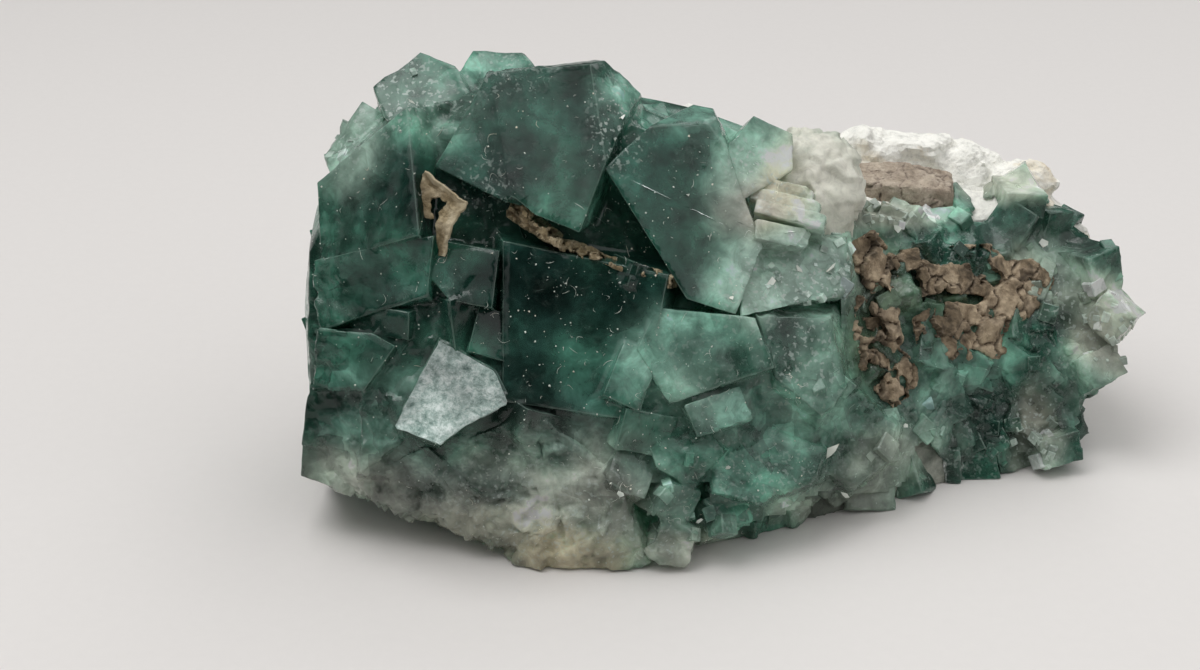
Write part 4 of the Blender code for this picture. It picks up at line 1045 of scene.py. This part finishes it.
claySkins = {
    # a plate is a flake between cracks; all of it lies "settled" deeper than
    # it was packed, the seam deeper by "sinksBy" for each mm past "sinksFrom",
    # and where the gap noise is high it sinks under the crystals
    "patch": {
        "voxel": 0.24, "plate": 3.0, "step": 0.80, "crack": 0.085, "crackDeep": 0.55,
        "lumps": 0.30, "lumpSize": 1.7, "grain": 0.17, "gapSize": 2.8, "gapAbove": 0.15,
        "sunk": 2.2, "settled": 0.95, "sinksFrom": 0.0, "sinksBy": 0.0, "seed": 301,
        # across, up, half width, half height, mm that it stands higher there
        "lifts": [(16, 25, 2.6, 7, 0.6), (16.8, 18, 3, 2.6, 1.0), (28.5, 26, 2.6, 3, 0.35),
                  (24.8, 30.5, 1.6, 3, 0.5), (22.3, 26.5, 1.4, 3, 0.45), (33, 28, 2.6, 2.6, 0.4),
                  (20.6, 31.5, 1.6, 3, -0.9), (30, 33.8, 6, 1.5, -0.7), (24, 34.8, 12, 1.0, -0.8)],
    },
    "slab": {
        "voxel": 0.2, "plate": 3.4, "step": 0.16, "crack": 0.04, "crackDeep": 0.30,
        "lumps": 0.34, "lumpSize": 2.2, "grain": 0.09, "gapSize": 3.0, "gapAbove": 9.0,
        "sunk": 0.0, "settled": 0.0, "sinksFrom": 0.0, "sinksBy": 0.0, "seed": 321, "lifts": [],
    },
    "seam": {
        "voxel": 0.14, "plate": 1.1, "step": 0.34, "crack": 0.08, "crackDeep": 0.25,
        "lumps": 0.30, "lumpSize": 0.9, "grain": 0.08, "gapSize": 1.3, "gapAbove": -0.06,
        "sunk": 2.0, "settled": 0.86, "sinksFrom": -21.0, "sinksBy": 0.075, "seed": 341,
        "lifts": [],
    },
}


def dryOut(mesh, skin):
    # clay dried on crystals: each point rises by the height of its flake,
    # drops in the cracks between flakes, takes broad lumps and grain along
    # its normal, and goes down into the face wherever the gap noise is high;
    # bells of lift raise it here and there
    points, normals = readPoints(mesh), readNormals(mesh)
    seed, plate = skin["seed"], skin["plate"] * mm
    inward = np.array([0.0, leanCos, -leanSin])
    bend = np.stack([layeredNoise(points, 1.6 * mm, 2, seed + 5 + axis)
                     for axis in range(3)], axis=1)
    plates, between = cellFacets(points + bend * 0.22 * skin["plate"] * mm, plate, seed)
    cracks = np.clip(1.0 - between / skin["crack"], 0.0, 1.0)
    lumps = layeredNoise(points, skin["lumpSize"] * mm, 3, seed + 1, ridged=True) * skin["lumps"]
    grain = layeredNoise(points, 0.6 * mm, 2, seed + 2) * skin["grain"]
    outer = np.clip(displayShare(normals), 0.0, 1.0)
    move = (plates * skin["step"] - cracks * skin["crackDeep"]) * outer + lumps * 0.7 + grain
    across, up = faceCoordinates(points)[:2]
    lift = np.zeros(len(points))
    for *oval, amount in skin["lifts"]:
        lift += amount * np.exp(-0.5 * ovalReach(across, up, oval) ** 1.5)
    gapNoise = layeredNoise(points, skin["gapSize"] * mm, 3, seed + 3) - 0.22 * lift
    hole = np.clip((gapNoise - skin["gapAbove"]) / 0.10, 0.0, 1.0)
    hole = hole * hole * (3.0 - 2.0 * hole)
    sinks = skin["sinksBy"] * np.clip(across - skin["sinksFrom"], 0.0, None)
    down = hole * skin["sunk"] + (skin["settled"] + sinks - lift)
    holeRim = np.clip(1.0 - np.abs(hole - 0.25) / 0.25, 0.0, 1.0) * 0.8
    plateRim = np.clip(1.0 - np.abs(between - skin["crack"]) / 0.06, 0.0, 1.0) * 0.6
    setNumbers(mesh, "rim", np.maximum(holeRim, plateRim))
    setNumbers(mesh, "crack", cracks)
    writePoints(mesh, points + normals * (move * mm)[:, None] + inward * (down * mm)[:, None])
    smoothExcept(mesh, 38.0)


clayPieces = {}
for part, node, name in (("patch", "clay_patch", "clayPatch"), ("slab", "clay_slab", "claySlab"),
                         ("seam", "ochre_seam", "ochreSeam")):
    clayPieces[part] = workObject(name, mergedNode(node))
    evenSkin(clayPieces[part], claySkins[part]["voxel"])
    dryOut(clayPieces[part].data, claySkins[part])
print("clay", [len(piece.data.polygons) for piece in clayPieces.values()], "faces")


curl = {
    # across, up, out down both borders of the folded leaf
    "left": ((-31.6, 41.0, 3.9), (-31.4, 38.9, 4.2), (-31.0, 36.8, 4.6), (-29.8, 33.0, 4.6)),
    "right": ((-31.0, 41.6, 4.2), (-26.5, 38.2, 6.9), (-28.0, 36.0, 6.9), (-29.0, 33.0, 4.8)),
    # shares of the sheet: where the gap starts, its two sides at the top, how
    # far its right side leans, and where the left strip is broken off
    "gapFrom": 0.30, "gapSides": (0.26, 0.62), "gapLean": 0.42, "stripEnd": 0.62,
    "bend": 0.75, "ragged": 0.26, "grain": 0.16, "thick": 0.24,  # mm
    "grid": 100,
}


def buildCurl():
    # a sheet between two broken lines, dished by a half sine across it, with
    # a leaning gap cut out of it, its borders and face roughened by noise
    count, gapFrom = curl["grid"], curl["gapFrom"]
    s, t = netShares(count)
    chains = []
    for side in ("left", "right"):
        chain = np.array(curl[side])
        steps = np.linspace(0.0, 1.0, len(chain))
        chains.append(np.stack([np.interp(t, steps, chain[:, axis]) for axis in range(3)], axis=1))
    place = chains[0] * (1.0 - s)[:, None] + chains[1] * s[:, None]
    for axis in range(2):
        place[:, axis] += layeredNoise(place, 0.9, 3, 81 + axis) * curl["ragged"]
    place[:, 2] -= np.sin(math.pi * s) * curl["bend"] * (1.0 - 0.5 * t)
    place[:, 2] += layeredNoise(place, 0.8, 3, 84) * curl["grain"]
    fray = 0.10 * layeredNoise(place, 0.9, 2, 88)
    inner, outer = curl["gapSides"]
    outer = outer - curl["gapLean"] * np.clip((t - gapFrom) / (1.0 - gapFrom), 0.0, 1.0)
    gap = (t > gapFrom + 0.25 * np.abs(s - 0.45) + fray) & (s < outer + fray)
    gap &= (s > inner + fray) | (t > curl["stripEnd"] + fray)
    faces = netFaces(count, count)
    faces = faces[~gap[faces].any(axis=1)]
    used, faces = np.unique(faces, return_inverse=True)
    place, s = place[used], s[used]
    made = meshObject("ochreCurl", facePoint(*place.T), faces.reshape(-1, 4).tolist())
    rim = layeredNoise(place, 1.0, 2, 90) + 0.5 * (s > 0.8)
    setNumbers(made.data, "rim", np.clip(rim, 0.0, 1.0))
    stain = np.clip(layeredNoise(place + 9.0, 0.8, 2, 92), 0.0, 1.0) * 0.6
    dull = np.clip(1.2 - 3.0 * s, 0.0, 1.0) + stain
    setNumbers(made.data, "crack", np.clip(dull, 0.0, 1.0))
    made.data.shade_smooth()
    thicken(made, curl["thick"], 0.0)
    return made


curlSheet = buildCurl()
print("ochre curl")


# helpers for materials: each gives back the socket that it ends in

def feed(entry, source):
    # a socket takes a link from another socket, or a fixed number or colour
    if isinstance(source, bpy.types.NodeSocket):
        entry.id_data.links.new(source, entry)
    elif entry.type == "RGBA":
        entry.default_value = (*source, 1.0)
    else:
        entry.default_value = source


def addNode(tree, kind, **values):
    # a value is for the socket of that name, or else for the node itself;
    # nodes are laid out in rows in the order they are made
    made = tree.nodes.new(kind)
    row, column = divmod(len(tree.nodes) - 1, 8)
    made.location = (column * 220.0, row * -320.0)
    for name, value in values.items():
        if name in made.inputs.keys():
            feed(made.inputs[name], value)
        else:
            setattr(made, name, value)
    return made


def newMaterial(name):
    # an empty surface shader, and the place on the piece for patterns to read
    made = bpy.data.materials.new(name)
    made.use_nodes = True
    tree = made.node_tree
    tree.nodes.clear()
    shader = addNode(tree, "ShaderNodeBsdfPrincipled")
    output = addNode(tree, "ShaderNodeOutputMaterial", Surface=shader.outputs["BSDF"])
    where = addNode(tree, "ShaderNodeTexCoord").outputs["Object"]
    return made, tree, shader, output, where


def noiseAt(tree, where, scale, detail=4.0, rough=0.6, distort=0.0):
    return addNode(tree, "ShaderNodeTexNoise", Vector=where, Scale=scale, Detail=detail,
                   Roughness=rough, Distortion=distort).outputs["Fac"]


def blocksAt(tree, where, scale, jitter):
    # angular cells, each of its own random colour
    return addNode(tree, "ShaderNodeTexVoronoi", distance="CHEBYCHEV", feature="F1", Vector=where,
                   Scale=scale, Randomness=jitter).outputs["Color"]


def rampOf(tree, source, stops):
    # numbers turned into the colours at the stops, where one number is a grey
    made = addNode(tree, "ShaderNodeValToRGB", Fac=source)
    elements = made.color_ramp.elements
    elements.remove(elements[-1])
    for index, (position, colour) in enumerate(stops):
        stop = elements.new(position) if index else elements[0]
        stop.position = position
        stop.color = (*colour, 1.0) if isinstance(colour, tuple) else (colour,) * 3 + (1.0,)
    return made.outputs["Color"]


def mixOf(tree, kind, share, first, second, clamped=False):
    made = addNode(tree, "ShaderNodeMix", data_type="RGBA", blend_type=kind, clamp_result=clamped)
    for entry, source in ((0, share), (6, first), (7, second)):  # factor, colours A and B
        feed(made.inputs[entry], source)
    return made.outputs[2]


def timesOf(tree, first, second):
    made = addNode(tree, "ShaderNodeMath", operation="MULTIPLY")
    feed(made.inputs[0], first)
    feed(made.inputs[1], second)
    return made.outputs[0]


def rangeOf(tree, source, start, end, low, high):
    # start to end becomes low to high
    limits = {"From Min": start, "From Max": end, "To Min": low, "To Max": high}
    return addNode(tree, "ShaderNodeMapRange", Value=source, **limits).outputs["Result"]


def markOf(tree, mark, output="Fac"):
    # what the mesh says about itself: tint, broken, painted glints, rim and so on
    return addNode(tree, "ShaderNodeAttribute", attribute_name=mark).outputs[output]


def grainOf(tree, shader, noise, looks, strength):
    # one noise sets how rough the surface is and raises a fine grain
    feed(shader.inputs["Roughness"], rampOf(tree, noise, looks["rough"]))
    bump = addNode(tree, "ShaderNodeBump", Strength=strength, Distance=looks["bump"], Height=noise)
    feed(shader.inputs["Normal"], bump.outputs["Normal"])


# the see-through greens: a noise is its scale for each metre, detail,
# roughness and distortion, and the stops turn it into greys or colours

greenGlass = {
    "fixed": {"Transmission Weight": 0.48, "IOR": 1.434, "Specular IOR Level": 0.42},
    "absorbColour": (0.42, 0.80, 0.70), "absorbDensity": 110.0,
    "clouds": (150.0, 4.0, 0.52, 0.0),
    "cloudStops": [(0.30, 0.26), (0.42, 0.54), (0.52, 0.92), (0.62, 1.42), (0.76, 2.0)],
    "wisps": (430.0, 5.0, 0.66, 0.5),
    "wispStops": [(0.34, 0.55), (0.48, 0.90), (0.58, 1.15), (0.70, 1.65)],
    # growth zones, turned off the axes, and cleavage cells: scale and jitter
    "planes": (135.0, 1.0), "planeTurn": (0.5, 0.35, 0.6),
    "planeStops": [(0.0, 0.66), (0.45, 0.96), (1.0, 1.26)],
    "cells": (390.0, 0.85), "cellShare": 0.75,
    "cellStops": [(0.0, 0.40), (0.5, 0.92), (1.0, 1.65)],
    # how far the tint has to be from dark for the mottling to calm, and to what
    "calm": (0.25, 0.80, 1.0, 0.70),
    "veils": (640.0, 4.0, 0.70, 0.8), "veilStops": [(0.54, 0.0), (0.78, 0.38)],
    "haze": (0.0, 1.0, 0.16, 1.0), "milk": (0.36, 0.52, 0.44),
    # painted glints: a fine noise picks flecks whose colour is pulled to a pale tone
    "paintedGlintNoise": (1900.0, 1.0, 0.6, 0.0), "paintedGlintStops": [(0.58, 0.0), (0.66, 0.85)],
    "paintedGlintTone": (0.74, 0.84, 0.78),
    # paler edges: partly wear, partly painted highlight
    "wearAndHighlightTone": (0.46, 0.62, 0.53), "wearAndHighlightShare": 0.19,
    "rough": [(0.40, 0.08), (0.72, 0.30)],
    "bump": 0.0003, "bumpStrength": (0.0, 1.0, 0.07, 0.34),  # metres
}
druseGlass = dict(greenGlass, fixed=dict(greenGlass["fixed"], **{"Transmission Weight": 0.42}))
paleGlass = dict(greenGlass, fixed=dict(greenGlass["fixed"], **{"Transmission Weight": 0.24}),
                 rough=[(0.40, 0.14), (0.72, 0.30)], milk=(0.66, 0.80, 0.72),
                 veilStops=[(0.54, 0.0), (0.78, 0.6)])


def greenMaterial(name, looks):
    # tinted by place, mottled by soft clouds, wisps, turned angular growth zones and,
    # where it broke, by blocky cells like the cleavage inside; then milky veils,
    # painted glints on fractures, and paler edges, partly wear and partly painted highlight
    made, tree, shader, output, where = newMaterial(name)
    tint, broken = markOf(tree, "tint", "Color"), markOf(tree, "broken")
    turned = addNode(tree, "ShaderNodeMapping", Vector=where, Rotation=looks["planeTurn"])
    veils = noiseAt(tree, where, *looks["veils"])
    mottling = mixOf(tree, "MULTIPLY", 1.0,
                     rampOf(tree, noiseAt(tree, where, *looks["clouds"]), looks["cloudStops"]),
                     rampOf(tree, noiseAt(tree, where, *looks["wisps"]), looks["wispStops"]))
    planes = blocksAt(tree, turned.outputs["Vector"], *looks["planes"])
    mottling = mixOf(tree, "MULTIPLY", 1.0, mottling, rampOf(tree, planes, looks["planeStops"]))
    calm = rangeOf(tree, markOf(tree, "tint"), *looks["calm"])  # pale zones are mottled less
    colour = mixOf(tree, "MULTIPLY", calm, tint, mottling)
    uneven = timesOf(tree, timesOf(tree, calm, broken), looks["cellShare"])
    cells = rampOf(tree, blocksAt(tree, where, *looks["cells"]), looks["cellStops"])
    colour = mixOf(tree, "MULTIPLY", uneven, colour, cells)
    hazy = timesOf(tree, rangeOf(tree, broken, *looks["haze"]),
                   rampOf(tree, veils, looks["veilStops"]))
    colour = mixOf(tree, "MIX", hazy, colour, looks["milk"])
    # painted glints: pale flecks where the fractures would catch the light
    paintedGlintNoise = rampOf(tree, noiseAt(tree, where, *looks["paintedGlintNoise"]), looks["paintedGlintStops"])
    paintedGlintShare = timesOf(tree, markOf(tree, "paintedGlint"), paintedGlintNoise)
    colour = mixOf(tree, "MIX", paintedGlintShare, colour, looks["paintedGlintTone"])
    # paler edge strips: partly wear, partly painted highlight
    wornAndHighlit = timesOf(tree, markOf(tree, "edgeWearAndHighlight"), looks["wearAndHighlightShare"])
    colour = mixOf(tree, "MIX", wornAndHighlit, colour, looks["wearAndHighlightTone"], clamped=True)
    feed(shader.inputs["Base Color"], colour)
    grainOf(tree, shader, veils, looks, rangeOf(tree, broken, *looks["bumpStrength"]))
    for entry, value in looks["fixed"].items():
        shader.inputs[entry].default_value = value
    absorb = addNode(tree, "ShaderNodeVolumeAbsorption", Density=looks["absorbDensity"],
                     Color=looks["absorbColour"])
    feed(output.inputs["Volume"], absorb.outputs["Volume"])
    return made


# everything that isn't see-through green: a broad noise mixes the stops, a
# fine one shades them, and the same fine one makes the grain

crust = {  # dry clay: dark cracks, pale rims of flakes
    "fineStops": [(0.30, 0.62), (0.55, 1.0), (0.8, 1.25)], "fineShare": 0.8,
    "rough": [(0.3, 0.80), (0.7, 0.97)], "bump": 0.0004, "bumpStrength": 0.9,
    "fixed": {"Specular IOR Level": 0.25},
}
brownClay = dict(
    crust, broad=(300.0, 5.0, 0.62, 0.6), fine=(1400.0, 4.0, 0.7, 0.0),
    stops=[(0.36, (0.07, 0.054, 0.036)), (0.48, (0.23, 0.175, 0.115)),
           (0.60, (0.47, 0.375, 0.26))],
    marks=[("rim", 0.6, (0.52, 0.42, 0.31)), ("crack", 0.7, (0.045, 0.035, 0.027))])
slabClay = dict(
    crust, broad=(260.0, 5.0, 0.62, 0.6), fine=(1600.0, 4.0, 0.7, 0.0),
    stops=[(0.32, (0.20, 0.155, 0.115)), (0.50, (0.42, 0.35, 0.275)), (0.70, (0.60, 0.52, 0.42))],
    marks=[("rim", 0.6, (0.50, 0.42, 0.35)), ("crack", 0.7, (0.07, 0.05, 0.04))])
ochreClay = dict(
    crust, broad=(380.0, 5.0, 0.62, 0.6), fine=(1900.0, 4.0, 0.7, 0.0),
    stops=[(0.32, (0.13, 0.10, 0.05)), (0.50, (0.31, 0.245, 0.145)), (0.70, (0.58, 0.49, 0.34))],
    marks=[("rim", 0.6, (0.66, 0.58, 0.42)), ("crack", 0.7, (0.10, 0.075, 0.04))])
waxyCream = {  # greener and clearer in places, with fine veins
    "broad": (160.0, 4.0, 0.6, 0.3), "fine": (900.0, 4.0, 0.72, 0.8),
    "stops": [(0.28, (0.42, 0.49, 0.40)), (0.46, (0.70, 0.70, 0.60)), (0.64, (0.86, 0.84, 0.74))],
    "fineStops": [(0.30, 0.72), (0.55, 1.0), (0.75, 1.15)], "fineShare": 0.8,
    "rough": [(0.4, 0.28), (0.7, 0.55)], "bump": 0.0003, "bumpStrength": 0.3,
    "fixed": {"Transmission Weight": 0.15, "IOR": 1.434},
}
chalkRock = {  # white above with ochre stains, grey-brown towards the foot
    "broad": (120.0, 5.0, 0.62, 0.5), "fine": (900.0, 5.0, 0.7, 0.0),
    "stops": [(0.28, (0.46, 0.36, 0.24)), (0.35, (0.78, 0.72, 0.60)), (0.44, (0.88, 0.87, 0.81))],
    "footStops": [(0.30, (0.07, 0.085, 0.07)), (0.50, (0.16, 0.18, 0.15)),
                  (0.68, (0.44, 0.45, 0.39))],
    "footHeights": (0.006, 0.026, 0.0, 1.0),  # metres, from all foot to none
    "fineStops": [(0.30, 0.60), (0.5, 0.96), (0.8, 1.12)], "fineShare": 0.85,
    "rough": [(0.3, 0.78), (0.7, 0.96)], "bump": 0.0003, "bumpStrength": 0.7,
    "fixed": {"Specular IOR Level": 0.3},
}
frostedMint = {  # a bright sparkling crust with green between its grains
    "broad": (1050.0, 5.0, 0.78, 0.3), "fine": (1050.0, 5.0, 0.78, 0.3),
    "stops": [(0.30, (0.08, 0.16, 0.135)), (0.47, (0.34, 0.45, 0.41)), (0.64, (0.74, 0.82, 0.79))],
    "shadedBy": "shade",
    "rough": [(0.4, 0.30), (0.7, 0.65)], "bump": 0.0003, "bumpStrength": 0.8,
}
# pale dust and flakes; on the specks the pale colour is partly painted highlight
paleDustAndGlints = {  # pale fluff or flakes, some of it warmer
    "broad": (240.0, 2.0, 0.5, 0.0),
    "stops": [(0.35, (0.42, 0.46, 0.40)), (0.55, (0.72, 0.76, 0.70)), (0.70, (0.80, 0.72, 0.58))],
}


def plainMaterial(name, looks):
    # the base colour step by step, then grain and the shader's fixed numbers
    made, tree, shader, _, where = newMaterial(name)
    broad = noiseAt(tree, where, *looks["broad"])
    colour = rampOf(tree, broad, looks["stops"])
    if "footStops" in looks:
        place = addNode(tree, "ShaderNodeSeparateXYZ", Vector=where)
        height = rangeOf(tree, place.outputs["Z"], *looks["footHeights"])
        colour = mixOf(tree, "MIX", height, rampOf(tree, broad, looks["footStops"]), colour)
    if "shadedBy" in looks:
        colour = mixOf(tree, "MULTIPLY", 1.0, colour, markOf(tree, looks["shadedBy"], "Color"))
    if "fine" in looks:
        fine = noiseAt(tree, where, *looks["fine"])
        if "fineStops" in looks:
            colour = mixOf(tree, "MULTIPLY", looks["fineShare"], colour,
                           rampOf(tree, fine, looks["fineStops"]))
        grainOf(tree, shader, fine, looks, looks["bumpStrength"])
    for mark, share, tone in looks.get("marks", []):
        colour = mixOf(tree, "MIX", timesOf(tree, markOf(tree, mark), share), colour, tone)
    feed(shader.inputs["Base Color"], colour)
    for entry, value in looks.get("fixed", {}).items():
        shader.inputs[entry].default_value = value
    return made


# each piece with its material, its slot and the node that it stands for
finishes = [
    (crystalMass, greenMaterial("deepGreenFluorite", greenGlass), "green_fluorite", ["fluorite"]),
    (druseCrystals, greenMaterial("drusyGreenFluorite", druseGlass), "green_fluorite", []),
    (paleCrystals, greenMaterial("paleMintFluorite", paleGlass), "green_fluorite", []),
    (lump, plainMaterial("paleFluorite", waxyCream), "green_fluorite", []),
    (frosted, plainMaterial("frostedMint", frostedMint), "green_fluorite", []),
    (ground, greenMaterial("groundFluorite", greenGlass), "green_fluorite", []),
    (brightFlakes, plainMaterial("flakeGlass", dict(paleDustAndGlints, fixed={"Roughness": 0.12})),
     "green_fluorite", []),
    (rock, plainMaterial("chalkyMatrix", chalkRock), "matrix_rock", ["host_rock"]),
    (clayPieces["patch"], plainMaterial("brownClay", brownClay), "brown_clay", ["clay_patch"]),
    (clayPieces["slab"], plainMaterial("slabClay", slabClay), "slab_clay", ["clay_slab"]),
    (clayPieces["seam"], plainMaterial("seamClay", ochreClay), "seam_clay", ["ochre_seam"]),
    (curlSheet, plainMaterial("curlClay", ochreClay), "flap_clay", ["ochre_flap"]),
    (hairs, plainMaterial("paleHairs", dict(paleDustAndGlints, fixed={"Roughness": 0.75})),
     "green_fluorite", []),
    (specks, plainMaterial("paleSpecks", dict(paleDustAndGlints, fixed={"Roughness": 0.6})),
     "green_fluorite", []),
]
for piece, material, slotName, nodes in finishes:
    piece.data.materials.clear()
    piece.data.materials.append(material)
    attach(piece, "root")
    if nodes:
        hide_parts(*nodes)
print("materials")


# floor, light and camera

stageLooks = {
    "floorSize": 3.0, "floorHeight": -0.00005,  # metres
    "fibres": (700.0, 3.0, 0.6, 0.0),
    "floorColour": (0.70, 0.675, 0.655), "fibreShade": 0.985,
    "skyStrength": 0.35,
    # the room is bright overhead and behind, and dim where the display side faces
    "skyWay": (-0.20, 0.45, 0.87), "skyStops": [(0.05, 0.05), (0.45, 0.14), (0.95, 1.0)],
    # name, place in metres, size, watts, all aimed at "aim"
    "lamps": [("keyLamp", (-0.22, 0.00, 0.58), 0.45, 2.2),
              ("backLamp", (0.25, 0.40, 0.45), 0.40, 0.8),
              ("fillLamp", (-0.30, -0.27, 0.44), 0.62, 0.85),
              ("softLamp", (0.38, -0.16, 0.44), 0.80, 1.9)],
    "aim": (0.0, 0.0, 0.02),
}


def buildStage():
    # a wide sheet of pale paper, a soft room and four lamps
    bpy.ops.mesh.primitive_plane_add(size=stageLooks["floorSize"],
                                     location=(0.0, 0.0, stageLooks["floorHeight"]))
    floor = bpy.context.active_object
    floor.name = "studioFloor"
    made, tree, shader, _, where = newMaterial("palePaper")
    fibres = noiseAt(tree, where, *stageLooks["fibres"])
    paper = stageLooks["floorColour"]
    shaded = tuple(stageLooks["fibreShade"] * channel for channel in paper)
    feed(shader.inputs["Base Color"], rampOf(tree, fibres, [(0.3, shaded), (0.7, paper)]))
    shader.inputs["Roughness"].default_value = 0.55
    shader.inputs["Specular IOR Level"].default_value = 0.3
    floor.data.materials.append(made)
    world = bpy.data.worlds.new("softRoom")
    bpy.context.scene.world = world
    world.use_nodes = True
    tree = world.node_tree
    sky = tree.nodes["Background"]
    heading = addNode(tree, "ShaderNodeTexCoord").outputs["Generated"]
    slope = addNode(tree, "ShaderNodeVectorMath", operation="DOT_PRODUCT")
    feed(slope.inputs[0], heading)
    feed(slope.inputs[1], stageLooks["skyWay"])
    feed(sky.inputs["Color"], rampOf(tree, slope.outputs["Value"], stageLooks["skyStops"]))
    sky.inputs["Strength"].default_value = stageLooks["skyStrength"]
    for name, place, size, watts in stageLooks["lamps"]:
        lamp = bpy.data.lights.new(name, "AREA")
        lamp.size = size
        lamp.energy = watts
        holder = bpy.data.objects.new(name, lamp)
        holder.location = place
        away = Vector(place) - Vector(stageLooks["aim"])
        holder.rotation_euler = away.to_track_quat("Z", "Y").to_euler()
        bpy.context.scene.collection.objects.link(holder)


buildStage()

view = {"lens": 60.0, "sensor": 36.0, "distance": 0.210, "target": (-14.85, -14.75, 22.3)}
lens = bpy.data.cameras.new("displayCamera")
lens.lens = view["lens"]
lens.sensor_width = view["sensor"]
lens.clip_start = 0.01
camera = bpy.data.objects.new("displayCamera", lens)
direction = Vector((0.0, -leanCos, leanSin))
camera.location = Vector(view["target"]) * mm + direction * view["distance"]
camera.rotation_euler = direction.to_track_quat("Z", "Y").to_euler()
bpy.context.scene.collection.objects.link(camera)
bpy.context.scene.camera = camera
bpy.context.scene.view_settings.view_transform = "Standard"
print("stage and camera")
